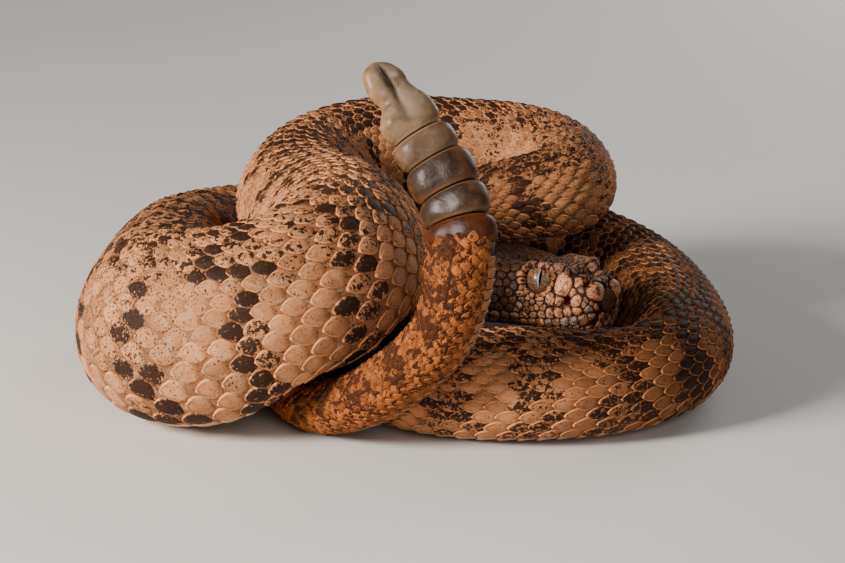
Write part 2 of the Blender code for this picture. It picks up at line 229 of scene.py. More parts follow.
@dataclass
class SnakeLine:
    """The line through the middle of the body, with its radius and its upward direction."""

    shift: tuple[float, float] = (-0.02, 1.93)
    belly_flat: float = 0.05
    head_roll: float = math.radians(5)
    head_length: float = 24.0
    return_to_up: float = 0.03
    steepest_level: float = 0.55
    fine_samples: int = 6000
    samples: int = 3000
    marks: dict[str, float] = field(default_factory=dict)

    def __post_init__(self) -> None:
        """Lays the line through the bends."""
        rows = np.array([self.row(bend) for bend in BODY])
        chords = np.linalg.norm(np.diff(rows[:, :3], axis=0), axis=1)
        knots = np.concatenate([[0], np.cumsum(np.sqrt(chords))])
        spread = np.linspace(0, knots[-1], self.fine_samples)
        fine = natural_spline(knots, rows, spread)
        steps = np.linalg.norm(np.diff(fine[:, :3], axis=0), axis=1)
        along = np.concatenate([[0], np.cumsum(steps)])
        for bend, knot in zip(BODY, knots):
            self.marks[bend.name] = float(np.interp(knot, spread, along))
        self.along = np.linspace(0, along[-1], self.samples)
        self.rows = np.stack([np.interp(self.along, along, column) for column in fine.T], axis=1)
        self.tangents = unit(np.gradient(self.rows[:, :3], self.along, axis=0))
        self.ups = self.carry_up()

    def row(self, bend: Bend) -> tuple[float, float, float, float]:
        """Middle and radius at one bend: what lies on the floor sinks a little, onto its flat.

        Args:
            bend: One bend of the pose.

        Returns:
            Three coordinates and the radius.
        """
        sink = self.belly_flat * bend.radius if bend.lift == 0 else 0
        return (
            bend.x + self.shift[0],
            bend.y + self.shift[1],
            bend.lift + bend.radius - sink,
            bend.radius,
        )

    def carry_up(self) -> Array:
        """The back's direction: straight up along the floor, carried on where the tail rises.

        Returns:
            One direction for each row of the line.
        """
        ups = np.empty_like(self.tangents)
        up = np.array([0.0, 0.0, 1.0])
        for i, tangent in enumerate(self.tangents):
            up = unit(up - (up @ tangent) * tangent)
            level = np.array([0.0, 0.0, 1.0]) - tangent[2] * tangent
            steady = float(np.linalg.norm(level))
            share = self.return_to_up * float(ramp(steady, self.steepest_level, 0.3))
            up = unit(up * (1 - share) + level / max(steady, 1e-6) * share)
            ups[i] = up
        roll = self.head_roll * ramp(self.head_length + 6 - self.along, 0, 12)
        sides = np.cross(self.tangents, ups)
        return ups * np.cos(roll)[:, None] + sides * np.sin(roll)[:, None]

    def at(self, places: Any) -> tuple[Array, Array, Array, Array, Array]:
        """Reads the line.

        Args:
            places: Distances from the snout.

        Returns:
            Middles, radii, tangents, sides and ups at the places.
        """
        places = np.atleast_1d(np.asarray(places, float))

        def read(table: Array) -> Array:
            """The table's rows at the places."""
            return np.stack([np.interp(places, self.along, column) for column in table.T], axis=1)

        rows = read(self.rows)
        tangents = unit(read(self.tangents))
        ups = read(self.ups)
        ups = unit(ups - np.sum(ups * tangents, axis=1)[:, None] * tangents)
        return rows[:, :3], rows[:, 3], tangents, np.cross(tangents, ups), ups


# Head outline: distance back from the snout, half width, crown above and chin below the middle
HEAD_OUTLINE = (
    (0.0, 1.2, 1.5, 1.8),
    (0.3, 2.2, 2.5, 2.8),
    (1.0, 3.1, 3.4, 3.5),
    (2.4, 3.6, 3.9, 3.7),
    (4.6, 4.1, 4.3, 3.8),
    (7.9, 4.7, 4.8, 3.9),
    (11.0, 6.0, 4.8, 4.1),
    (14.5, 7.5, 4.6, 4.4),
    (17.5, 7.9, 4.4, 4.5),
    (20.2, 6.5, 4.2, 4.3),
    (22.3, 4.9, 4.1, 4.1),
    (24.0, 4.3, 4.2, 4.1),
)

# Line of the mouth: distance from the snout and angle from the middle of the back
MOUTH_LINE = (
    (0.0, 95.0),
    (0.5, 97.0),
    (2.9, 110.0),
    (6.1, 119.0),
    (9.0, 121.0),
    (12.0, 118.0),
    (15.5, 110.0),
)

# The pits and the nostrils of one side: distance from the snout, angle and breadth
OPENINGS = ((3.50, 79, 0.92), (1.70, 38, 0.66))

# Share of the rattle's first segment that a place lies up it, and share of its breadth there
BAND_OUTLINE = ((0.0, 0.86), (0.12, 0.97), (0.5, 1.0), (0.85, 0.97), (1.0, 0.86))


class Swell(NamedTuple):
    """A soft rise on the head, or a hollow where the height is negative, along a few places."""

    name: str
    places: tuple[tuple[float, float], ...]
    breadth: float
    height: float


SWELLS = (
    Swell("brow", ((5.0, 33), (6.2, 35), (7.6, 37), (9.2, 41)), 1.0, 0.85),
    Swell("front of the brow", ((4.6, 32), (5.4, 34)), 0.9, 0.35),
    Swell("brow edge", ((5.6, 40), (7.2, 42), (9.0, 46)), 0.50, 0.55),
    Swell("canthus", ((4.8, 35), (3.2, 29), (2.0, 24)), 0.6, 0.30),
    Swell("nose corner", ((0.6, 44), (1.7, 33)), 1.05, 0.50),
    Swell("crown hollow", ((3.6, 0), (9.0, 0)), 1.7, -0.62),
    Swell("crown fall", ((10.2, 0), (13.0, 0)), 3.3, -0.75),
    Swell("hollow behind the eye", ((10.6, 66), (12.5, 74)), 1.0, -0.30),
    Swell("hollow before the eye", ((5.5, 46), (5.2, 72)), 0.42, -0.20),
    Swell("hollow below the canthus", ((2.9, 44), (3.1, 62)), 0.5, -0.15),
    Swell("cheek", ((14.0, 84), (17.5, 88)), 2.2, 0.20),
    Swell("pit", ((3.50, 79),), 0.62, -1.3),
    Swell("nostril", ((1.85, 42), (1.55, 34)), 0.36, -1.1),
)


@dataclass
class SkinForm:
    """The skin's shape: a closed tube with a round end at the snout, read by place and angle.

    A place is measured along the skin from the middle of the snout. The angle is 0 at the middle
    of the back and rises towards the snake's left.
    """

    line: SnakeLine
    coat_depth: float = 0.38
    head_coat_depth: float = 0.22
    head_fade: tuple[float, float] = (22.0, 4.0)
    contact_gap: float = 0.5
    press_start: float = 20.0
    press_step: float = 1.2
    press_sharpness: float = 10.0
    neighbour_reach: float = 0.8
    head_room: float = 1.55
    least_reach: float = 0.6
    ridge: float = 0.03
    head_squareness: float = 2.5
    rest_place: float = 298.0
    rest_reach: float = 6.0
    rest_sag: float = 0.13
    floor_gap: float = 0.27
    floor_round: float = 0.10
    columns: int = 120
    head_step: float = 0.2
    body_step: float = 1.0
    overhang: float = 3.2
    mouth_length: float = 15.5
    eye_back: float = 8.0
    eye_out: float = 2.60
    eye_rise: float = 2.24
    eye_radius: float = 2.1
    lid_radius: float = 2.02
    lid_size: float = 0.20
    socket_radius: float = 1.68
    socket_depth: float = 1.6
    lip_groove: tuple[float, float] = (-0.42, 0.20)
    lip_swell: tuple[float, float] = (0.12, 0.9)

    def __post_init__(self) -> None:
        """Lays the grid of the skin and presses, sculpts and measures it."""
        outline = np.array([(0.03, 0.03, 0.03, 0.03), *HEAD_OUTLINE])
        steps = np.diff(outline, axis=0)
        chords = np.sqrt(steps[:, 0] ** 2 + (steps[:, 1:] ** 2).mean(axis=1))
        self.outline = outline
        self.outline_knots = np.concatenate([[0], np.cumsum(chords)])
        self.head_end = float(self.outline_knots[-1])
        self.tail_end = self.place_of(self.line.marks["tail end"])
        last = self.tail_end + self.overhang
        head_rows = np.linspace(0, self.head_end, round(self.head_end / self.head_step))
        body_count = round((last - self.head_end) / self.body_step)
        body_rows = np.linspace(self.head_end, last, body_count + 1)[1:]
        self.rows = np.concatenate([head_rows, body_rows])
        self.angles = -math.pi + TURN * np.arange(self.columns) / self.columns
        self.along, widths, crowns, chins = self.outlines(self.rows)
        self.points = self.lay(widths, crowns, chins)
        self.measure()
        self.sculpt()
        self.measure()

    def place_of(self, distance: Any) -> Any:
        """The place along the skin that lies at a distance from the snout along the line.

        Args:
            distance: How far from the snout along the line.

        Returns:
            The same number of places along the skin.
        """
        spread = np.linspace(0, self.head_end, 1200)
        reached = np.maximum.accumulate(self.outlines(spread)[0])
        inside = np.interp(distance, reached, spread)
        return np.where(
            np.asarray(distance) > self.line.head_length,
            self.head_end + np.asarray(distance) - self.line.head_length,
            inside,
        )

    def outlines(self, places: Array) -> tuple[Array, Array, Array, Array]:
        """Distance from the snout, half width, crown and chin at places along the skin.

        Args:
            places: Places along the skin.

        Returns:
            Four tables with one number for each place.
        """
        inside = np.clip(places, 0, self.head_end)
        read = natural_spline(self.outline_knots, self.outline, inside)
        distance = np.maximum(read[:, 0], 0.03) + np.maximum(places - self.head_end, 0)
        return distance, read[:, 1], read[:, 2], read[:, 3]

    def lay(self, widths: Array, crowns: Array, chins: Array) -> Array:
        """Points of the skin, before the head's features.

        Args:
            widths: The head's half width at each row.
            crowns: Its height above the middle.
            chins: Its depth below the middle.

        Returns:
            One point for each row and column.
        """
        middles, radii, _, sides, ups = self.line.at(self.along)
        rise, out = np.cos(self.angles), np.sin(self.angles)
        directions = rise[None, :, None] * ups[:, None] + out[None, :, None] * sides[:, None]
        height = np.where(rise[None] > 0, crowns[:, None], chins[:, None])
        power = self.head_squareness
        wide = (np.abs(out)[None] / np.maximum(widths, 0.02)[:, None]) ** power
        tall = (np.abs(rise)[None] / np.maximum(height, 0.02)) ** power
        head = (wide + tall) ** (-1 / power)
        head = head - self.head_coat_depth * np.minimum(1, head / 1.5)
        shape = 1 + self.ridge * np.cos(3 * self.angles)
        body = radii[:, None] * shape[None]
        tail_end = self.line.marks["tail end"]
        trunk = np.where((self.along > self.press_start) & (self.along < tail_end + 1))[0]
        body[trunk] = self.press(self.along[trunk], body[trunk], directions[trunk])
        pressed = bell(self.along - self.rest_place, self.rest_reach)
        body *= 1 - self.rest_sag * pressed[:, None] * np.maximum(rise, 0)[None]
        body -= self.coat_depth
        share = ramp(self.along, *self.head_fade)[:, None]
        reach = head * (1 - share) + body * share
        reach = self.fit_rattle(reach)
        points = middles[:, None] + directions * reach[..., None]
        room = (points[..., 2] - self.floor_gap) / self.floor_round
        points[..., 2] = self.floor_gap + self.floor_round * np.logaddexp(0, room)
        return points

    def fit_rattle(self, reach: Array) -> Array:
        """The reach past the tail's end, where the last scales lie on the rattle's base.

        Args:
            reach: How far the skin reaches from its line, by row and column.

        Returns:
            The reach, drawn in to the rattle.
        """
        past_end = self.along - self.line.marks["tail end"]
        up_base = past_end / BASE_HEIGHT
        band = np.array(BAND_OUTLINE)
        broad = BASE_BREADTH * np.interp(up_base, band[:, 0], band[:, 1]) + 0.12
        rise, out = np.cos(self.angles), np.sin(self.angles)
        oval = 1 / np.sqrt(
            (rise[None] / broad[:, None]) ** 2
            + (out[None] / (broad[:, None] * RATTLE_THICKNESS)) ** 2
        )
        share = ramp(past_end, -2.5, 3.2)[:, None]
        return reach * (1 - share) + oval * share

    def press(self, places: Array, reach: Array, directions: Array) -> Array:
        """How far the body reaches in each direction, held back by the turns that it touches.

        Args:
            places: Distances along the line, one for each row.
            reach: The free body's reach.
            directions: The directions of the reach.

        Returns:
            The held reach.
        """
        middles, radii, _, _, _ = self.line.at(places)
        others = np.arange(0, self.line.marks["tail end"], self.press_step)
        other_middles, other_radii, _, _, _ = self.line.at(others)
        held = np.empty(reach.shape)
        power = self.press_sharpness
        for i, place in enumerate(places):
            apart = np.abs(others - place) > self.neighbour_reach * radii[i]
            away = other_middles[apart] - middles[i]
            distance = np.linalg.norm(away, axis=1)
            near = distance < 3 * radii[i] + other_radii[apart]
            away, distance = away[near], distance[near]
            of_head = others[apart][near] < self.line.head_length
            others_broad = other_radii[apart][near] * np.where(of_head, self.head_room, 1.0)
            share = radii[i] / (radii[i] + others_broad)
            room = distance * share - self.contact_gap / 2
            facing = directions[i] @ (away / distance[:, None]).T
            limits = np.where(facing > 0.05, room / np.maximum(facing, 0.05), 1e3)
            limit = np.maximum(limits.min(axis=1), self.least_reach)
            held[i] = (reach[i] ** -power + limit**-power) ** (-1 / power)
        return held

    def measure(self) -> None:
        """Finds the outward directions, and how far a step of place or angle goes on the skin."""
        by_row = np.gradient(self.points, self.rows, axis=0)
        by_angle = np.roll(self.points, -1, axis=1) - np.roll(self.points, 1, axis=1)
        by_angle = by_angle * self.columns / (2 * TURN)
        self.outward = unit(np.cross(by_angle, by_row))
        self.outward[0] = self.outward[1].mean(axis=0)
        self.row_size = np.maximum(np.linalg.norm(by_row, axis=2), 0.25)
        self.angle_size = np.maximum(np.linalg.norm(by_angle, axis=2), 0.25)

    def sample(self, table: Array, places: Array, angles: Array) -> Array:
        """Reads a table of the grid between its points.

        Args:
            table: Numbers for each row and column.
            places: Places along the skin.
            angles: Angles from the back, in radians.

        Returns:
            The numbers at the places and angles.
        """
        row = np.interp(places, self.rows, np.arange(len(self.rows)))
        low = np.minimum(row.astype(int), len(self.rows) - 2)
        column = (np.asarray(angles) / TURN + 0.5) % 1.0 * self.columns
        left = np.floor(column).astype(int) % self.columns
        right = (left + 1) % self.columns
        down, across = row - low, column - np.floor(column)
        if table.ndim == 3:
            down, across = down[:, None], across[:, None]
        top = table[low, left] * (1 - across) + table[low, right] * across
        bottom = table[low + 1, left] * (1 - across) + table[low + 1, right] * across
        return top * (1 - down) + bottom * down

    def sizes(self, places: Array, angles: Array) -> tuple[Array, Array]:
        """Millimetres of skin for one of place, and for one radian of angle."""
        tables = (self.row_size, self.angle_size)
        return tuple(self.sample(table, places, angles) for table in tables)

    def spot(self, distance: float, degrees: float) -> Array:
        """The point of the skin at a distance from the snout and an angle in degrees."""
        place = np.array([float(self.place_of(distance))])
        return self.sample(self.points, place, np.array([math.radians(degrees)]))[0]

    def mouth_angle(self, distance: Any, rise: float = 0.0) -> Any:
        """The angle, in radians, of the line of the mouth, or of a line above it by the rise.

        Args:
            distance: Distances from the snout.
            rise: How far above the mouth, in millimetres.

        Returns:
            One turn round the head for each distance.
        """
        table = np.array(MOUTH_LINE)
        width = np.interp(distance, (0, 1, 3, 8, 15), (2.0, 3.0, 3.6, 4.3, 6.5))
        return np.radians(np.interp(distance, table[:, 0], table[:, 1])) - rise / width

    def eye_centre(self, hand: int) -> tuple[Array, Array, Array, Array]:
        """Middle of one eye, and the head's forward, side and up directions there.

        Args:
            hand: 1 for the left eye, -1 for the right.

        Returns:
            A point and three directions.
        """
        middles, _, tangents, sides, ups = self.line.at([self.eye_back])
        centre = middles[0] + sides[0] * self.eye_out * hand + ups[0] * self.eye_rise
        return centre, -tangents[0], sides[0] * hand, ups[0]

    def eye_socket(self, hand: int) -> tuple[Array, Array]:
        """Middle of one eye, and the direction in which its socket opens."""
        centre, _, side, up = self.eye_centre(hand)
        return centre, unit(side * 0.9 + up * 0.35 + self.gaze(hand) * 0.6)

    def gaze(self, hand: int, forward: float = 29.0, upward: float = 19.0) -> Array:
        """The direction in which one eye looks: outwards, a little forward and a little up.

        Args:
            hand: 1 for the left eye, -1 for the right.
            forward: Degrees turned forwards.
            upward: Degrees turned up.

        Returns:
            A direction of length one.
        """
        _, ahead, side, up = self.eye_centre(hand)
        turn, tilt = math.radians(forward), math.radians(upward)
        level = side * math.cos(turn) + ahead * math.sin(turn)
        return unit(level * math.cos(tilt) + up * math.sin(tilt))

    def sculpt(self) -> None:
        """Gives the head its brows, pits, nostrils, lips and sockets."""
        head = self.along < self.line.head_length + 2
        points = self.points[head]
        outward = self.outward[head]
        change = np.zeros(points.shape[:2])
        for hand in (1, -1):
            for swell in SWELLS:
                spots = np.array([self.spot(s, a * hand) for s, a in swell.places])
                gap = distance_to_line(points, spots)
                change += swell.height * np.exp(-((gap / swell.breadth) ** 2) * 1.4)
            mouth = [0.5, 1.2, 2.4, 4.0, 6.0, 8.0, 10.0, 12.0, 14.0, self.mouth_length]
            lips = [self.spot(s, math.degrees(float(self.mouth_angle(s))) * hand) for s in mouth]
            gap = distance_to_line(points, np.array(lips))
            for height, breadth in (self.lip_groove, self.lip_swell):
                change += height * bell(gap, breadth)
        points = points + outward * change[..., None]
        self.eye_gap = np.full(self.points.shape[:2], FAR)
        for hand in (1, -1):
            centre, axis = self.eye_socket(hand)
            away = points - centre
            before = away @ axis
            off = np.linalg.norm(away - before[..., None] * axis, axis=-1)
            under_brow = 1 - ramp(away @ self.eye_centre(hand)[3], 1.2, 0.35)
            faces = ramp(outward @ axis, 0.38, 0.22) * (before > 0) * under_brow
            lid = bell(off - self.lid_radius, self.lid_size) * self.lid_size
            sink = (1 - ramp(off, self.socket_radius, 0.26)) * self.socket_depth
            points = points + axis * ((lid - sink) * faces)[..., None]
            self.eye_gap[head] = np.minimum(self.eye_gap[head], off + FAR * (1 - faces))
        self.points[head] = points


def distance_to_line(points: Array, spots: Array) -> Array:
    """Distance from each point to the line through the spots, or to the one spot.

    Args:
        points: Where to measure from, one per row.
        spots: The corners of the line in order.

    Returns:
        One distance for each point.
    """
    if len(spots) == 1:
        return np.linalg.norm(points - spots[0], axis=-1)
    nearest = np.full(points.shape[:-1], np.inf)
    for start, end in zip(spots, spots[1:]):
        step = end - start
        share = np.clip(((points - start) @ step) / (step @ step), 0, 1)
        gap = np.linalg.norm(points - start - share[..., None] * step, axis=-1)
        nearest = np.minimum(nearest, gap)
    return nearest


@dataclass(frozen=True)
class Rhythm:
    """How often a marking comes back: its spacing at a few places, and one place that has it."""

    places: tuple[float, ...]
    spacings: tuple[float, ...]
    anchor: float

    def gap(self, along: Array, leaning: Array) -> Array:
        """How far each place lies from the nearest marking.

        Args:
            along: Distances from the snout.
            leaning: The same, shifted as the markings lean.

        Returns:
            The distances, never below 0.
        """
        fine = np.linspace(0, 460, 2400)
        turns = np.cumsum(1 / np.interp(fine, self.places, self.spacings)) * (fine[1] - fine[0])
        phase = np.interp(leaning, fine, turns) - np.interp(self.anchor, fine, turns)
        return np.abs(phase - np.round(phase)) * np.interp(along, self.places, self.spacings)


@dataclass(frozen=True)
class Markings:
    """Where the dark blotches, side bars and tail rings lie, how the colour shifts, and where light and
    shade are painted on.
    """

    back: Rhythm = Rhythm((0, 60, 150, 300, 385, 433), (9.0, 10.0, 11.2, 9.4, 8.0, 6.0), anchor=148.5)
    side: Rhythm = Rhythm(
        (0, 150, 250, 310, 392, 400, 433), (7.0, 7.65, 8.0, 8.3, 7.0, 5.9, 5.9), anchor=145.6
    )
    tail_rings: tuple[float, ...] = (396.0, 400.8, 405.4, 410.4, 417.0, 423.6, 428.0, 433.0)
    lone_bar: float = 145.6
    # Where painted shade darkens the hind coil's shaded corner
    dark_corner: float = 284.5

    @staticmethod
    def hindness(along: Array) -> Array:
        """0 on the front half, up to 1 on the hind half, whose bars are broad and plain."""
        return ramp(along, 205, 60)

    def darkness(self, along: Array, angles: Array, chance: Array) -> Array:
        """How dark the marking is, with painted shade added on one corner of the hind coil.

        Args:
            along: Distances from the snout.
            angles: Angles from the middle of the back's scales, in radians.
            chance: A number from 0 to 1 for each place, which breaks the marking up.

        Returns:
            0 where the ground colour shows, up to 1 in the darkest spots.
        """
        tilt = np.degrees(np.abs(angles))
        lean = along + 0.02 * (tilt - 70) * np.sin(along * 0.71)
        off_side = self.side.gap(along, lean)
        in_back = self.back.gap(along, lean)
        hind = self.hindness(along)
        lone = bell(along - self.lone_bar, 2.6)
        half_bar = 0.95 + 0.95 * hind - 0.25 * lone
        bar = 1 - ramp(off_side, half_bar, 0.45)
        bar = bar * (0.30 + 0.75 * ramp(chance, 0, 0.55))
        bar = bar * ramp(tilt, 24, 12)
        edge = 1 - ramp(np.abs(in_back - 2.9), 0.85, 0.5)
        edge = edge * (0.30 + 0.75 * ramp(chance, 0.15, 0.5))
        inner = 1 - ramp(in_back, 2.6, 0.8)
        fore = 1 - ramp(along, 70, 35)
        blotch = np.maximum(edge, inner * (0.25 + 0.5 * chance**2 + 0.25 * hind + 0.2 * fore))
        blotch = blotch * (1 - ramp(tilt, 38, 12))
        mark = np.maximum(bar * (0.86 - 0.04 * hind), blotch * 0.92)
        faint = np.interp(along, (40, 48, 62, 72, 116, 121, 126), (1.0, 0.45, 0.45, 1.0, 1.0, 0.6, 1.0))
        faint = faint * np.interp(along, (288, 296, 312, 322), (1.0, 0.72, 0.72, 1.0))
        mark = mark * faint
        # Painted shade on the corner of the hind coil that lies in shade
        mark = mark + 0.35 * bell(along - self.dark_corner, 5.5) * chance
        rings = np.abs(along[:, None] - np.array(self.tail_rings)[None]).min(axis=1)
        ring = 1 - ramp(rings, 1.0, 0.8)
        upper = 0.35 + 0.65 * (1 - ramp(np.degrees(angles), 62, 40))
        ring = np.maximum(ring, 0.55 * (chance > 0.72)) * upper
        ring = ring * np.where(chance > 0.25, 0.8, 0.3)
        tail = ramp(along, TAIL_START, 10)
        mark = mark * (1 - tail) + ring * tail
        return np.clip(mark * (0.8 + 0.2 * ramp(along, 26, 12)), 0, 1)

    def blots(self, along: Array, angles: Array) -> Array:
        """How thickly small black blots lie: most along the back of the front half.

        Args:
            along: Distances from the snout.
            angles: Turns round the body, 0 on its back.

        Returns:
            One share for each place.
        """
        back = 1 - ramp(np.degrees(np.abs(angles)), 28, 22)
        places = (0, 50, 62, 82, 100, 112, 128, 150, 210, 300, 386, 400)
        shares = (0.5, 0.5, 0.6, 1.2, 1.1, 0.45, 0.45, 0.4, 0.45, 0.35, 0.3, 0.0)
        return back * np.interp(along, places, shares) + 0.5 * ramp(along, TAIL_START, 14)

    def brownness(self, along: Array, angles: Array) -> Array:
        """0 for the pale front of the trunk, up to 1 for its browner back.

        Args:
            along: Distances from the snout.
            angles: Turns round the body, 0 on its back.

        Returns:
            One share for each place.
        """
        places = (0, 24, 42, 48, 60, 100, 152, 166, 205, 260, 285, 297, 306, 330, 400)
        shades = (0.75, 0.8, 0.7, 0.3, 0.2, 0.0, 0.0, 0.2, 0.35, 0.90, 1.2, 0.8, 0.45, 0.75, 0.8)
        back = 1 - ramp(np.degrees(np.abs(angles)), 22, 40)
        along_back = np.interp(along, (40, 62, 110, 150), (0.1, 0.30, 0.25, 0.10))
        return np.clip(np.interp(along, places, shades) + back * along_back, 0, 1)

    def paleness(self, along: Array) -> Array:
        """Painted light and shade along the body: paler where a coil is lit, darker below 0 where a
        strand lies in shade.
        """
        places = (0, 36, 46, 112, 121, 130, 276, 285, 294, 304, 314, 330)
        return np.interp(along, places, (0, -0.35, 0, 0, 1.3, 0, 0, -0.9, 0, 0.35, 0.2, 0))

    def warmth(self, along: Array) -> Array:
        """0 on the trunk, up to 1 for the tail's orange."""
        return ramp(along, TAIL_START - 10, 18)

    def smoothness(self, along: Array, angles: Array) -> Array:
        """How flat the scales lie: up to 1 on the side where the thick coil bends hardest.

        Args:
            along: Distances from the snout.
            angles: Turns round the body, 0 on its back.

        Returns:
            One share for each place.
        """
        tilt = np.degrees(np.abs(angles))
        length = ramp(along, 138, 9) * (1 - ramp(along, 175, 25))
        return length * ramp(tilt, 18, 15) * (1 - ramp(tilt, 96, 16))


class Sheet:
    """A node tree that grows one node at a time."""

    def __init__(self, tree: bpy.types.NodeTree) -> None:
        """Clears the tree."""
        self.tree = tree
        tree.nodes.clear()

    def add(
        self, kind: str, settings: Settings | None = None, values: Settings | None = None
    ) -> bpy.types.Node:
        """Adds a node.

        Args:
            kind: The node's type.
            settings: Its own settings, set before its sockets.
            values: Numbers, colours, sockets or Values for its sockets, by name or number.

        Returns:
            The node.
        """
        node = self.tree.nodes.new(kind)
        for name, setting in (settings or {}).items():
            setattr(node, name, setting)
        for key, value in (values or {}).items():
            self.feed(node.inputs[key], value)
        return node

    def feed(self, socket: Socket, value: Any) -> None:
        """Links a socket to another, or sets its constant.

        Args:
            socket: The socket that is fed.
            value: A socket, a number, a vector or a colour.
        """
        if isinstance(value, Value):
            value = value.socket
        if isinstance(value, Socket):
            self.tree.links.new(value, socket)
        elif isinstance(value, tuple) and len(value) == 3 and socket.type == "RGBA":
            socket.default_value = (*value, 1.0)
        else:
            socket.default_value = value

    def value(self, node: bpy.types.Node, key: str | int = 0) -> Value:
        """One output of a node, ready for sums."""
        return Value(self, node.outputs[key])

    def read(self, name: str) -> Value:
        """A number that the mesh stores."""
        return self.value(self.add("ShaderNodeAttribute", {"attribute_name": name}), "Fac")

    def noise(self, scale: float, rough: float = 0.5, detail: float = 2.0) -> Value:
        """A noise through the object, by its turns to a metre.

        Args:
            scale: Turns to a metre.
            rough: How strong the finer turns are.
            detail: How many finer turns are added.

        Returns:
            A value round 0.5.
        """
        spot = self.add("ShaderNodeTexCoord").outputs["Object"]
        values = {"Vector": spot, "Scale": scale, "Detail": detail, "Roughness": rough}
        return self.value(self.add("ShaderNodeTexNoise", None, values))

    def dots(self, scale: float, size: float) -> Value:
        """Round dots of many sizes, up to the size as a share of their spacing.

        Args:
            scale: How many dots stand in a length of one.
            size: The largest dot, in shares of the spacing.

        Returns:
            1 inside a dot and 0 outside.
        """
        spot = self.add("ShaderNodeTexCoord").outputs["Object"]
        cells = self.add("ShaderNodeTexVoronoi", None, {"Vector": spot, "Scale": scale})
        share = self.add("ShaderNodeSeparateColor", None, {0: cells.outputs["Color"]})
        reach = (self.value(share) - 0.35).most(0.0) * size * 1.6
        return 1 - (self.value(cells) - reach).rise(-0.03, 0.03)

    def bump(self, height: Value, distance: float, strength: float) -> Socket:
        """Fine relief, by its depth in metres."""
        values = {"Height": height, "Distance": distance, "Strength": strength}
        return self.add("ShaderNodeBump", None, values).outputs[0]

    def surface(self, colour: Any, roughness: Any, **others: Any) -> None:
        """Ends a material with its shader.

        Args:
            colour: Its colour.
            roughness: Its roughness.
            others: The shader's other sockets, by name, with _ for a space.
        """
        values = {name.replace("_", " "): value for name, value in others.items()}
        values = {"Base Color": colour, "Roughness": roughness, **values}
        shader = self.add("ShaderNodeBsdfPrincipled", None, values)
        self.add("ShaderNodeOutputMaterial", None, {"Surface": shader.outputs[0]})

    def mix(self, share: Any, start: Any, end: Any) -> Socket:
        """A colour between two others."""
        settings = {"data_type": "RGBA", "clamp_factor": True}
        return self.add("ShaderNodeMix", settings, {0: share, 6: start, 7: end}).outputs[2]


class Value:
    """A number in a node tree, with sums that add Math nodes."""

    def __init__(self, sheet: Sheet, socket: Socket) -> None:
        """Wraps a socket of the sheet."""
        self.sheet = sheet
        self.socket = socket

    def math(self, operation: str, *terms: Any) -> Value:
        """The result of a Math node."""
        values = dict(enumerate(terms))
        return self.sheet.value(self.sheet.add("ShaderNodeMath", {"operation": operation}, values))

    def __add__(self, other: Any) -> Value:
        """Sum."""
        return self.math("ADD", self, other)

    __radd__ = __add__

    def __mul__(self, other: Any) -> Value:
        """Product."""
        return self.math("MULTIPLY", self, other)

    __rmul__ = __mul__

    def __sub__(self, other: Any) -> Value:
        """Difference."""
        return self.math("SUBTRACT", self, other)

    def __rsub__(self, other: Any) -> Value:
        """Difference from a number."""
        return self.math("SUBTRACT", other, self)

    def __truediv__(self, other: Any) -> Value:
        """Quotient."""
        return self.math("DIVIDE", self, other)

    def __pow__(self, other: Any) -> Value:
        """Power."""
        return self.math("POWER", self, other)

    def most(self, other: Any) -> Value:
        """The larger of two."""
        return self.math("MAXIMUM", self, other)

    def size(self) -> Value:
        """The value without its sign."""
        return self.math("ABSOLUTE", self)

    def rise(self, low: float, high: float) -> Value:
        """0 up to the low value, 1 from the high one, and a smooth rise between.

        Args:
            low: Where the rise starts.
            high: Where it ends.

        Returns:
            A value from 0 to 1.
        """
        settings = {"interpolation_type": "SMOOTHSTEP", "clamp": True}
        node = self.sheet.add("ShaderNodeMapRange", settings, {0: self, 1: low, 2: high, 3: 0, 4: 1})
        return self.sheet.value(node)


@dataclass(frozen=True)
class Finish:
    """A named finish. Each kind paints its own material."""

    name: str

    def build(self) -> Material:
        """Makes the material.

        Returns:
            The material.
        """
        material = bpy.data.materials.new(self.name)
        material.use_nodes = True
        self.paint(Sheet(material.node_tree))
        return material

    def paint(self, sheet: Sheet) -> None:
        """Lays out the material's nodes on its empty sheet."""
        raise NotImplementedError


class Surface(Enum):
    """What a skin material covers."""

    SCALES = "scales"
    BARE = "bare"
    BELLY = "belly"


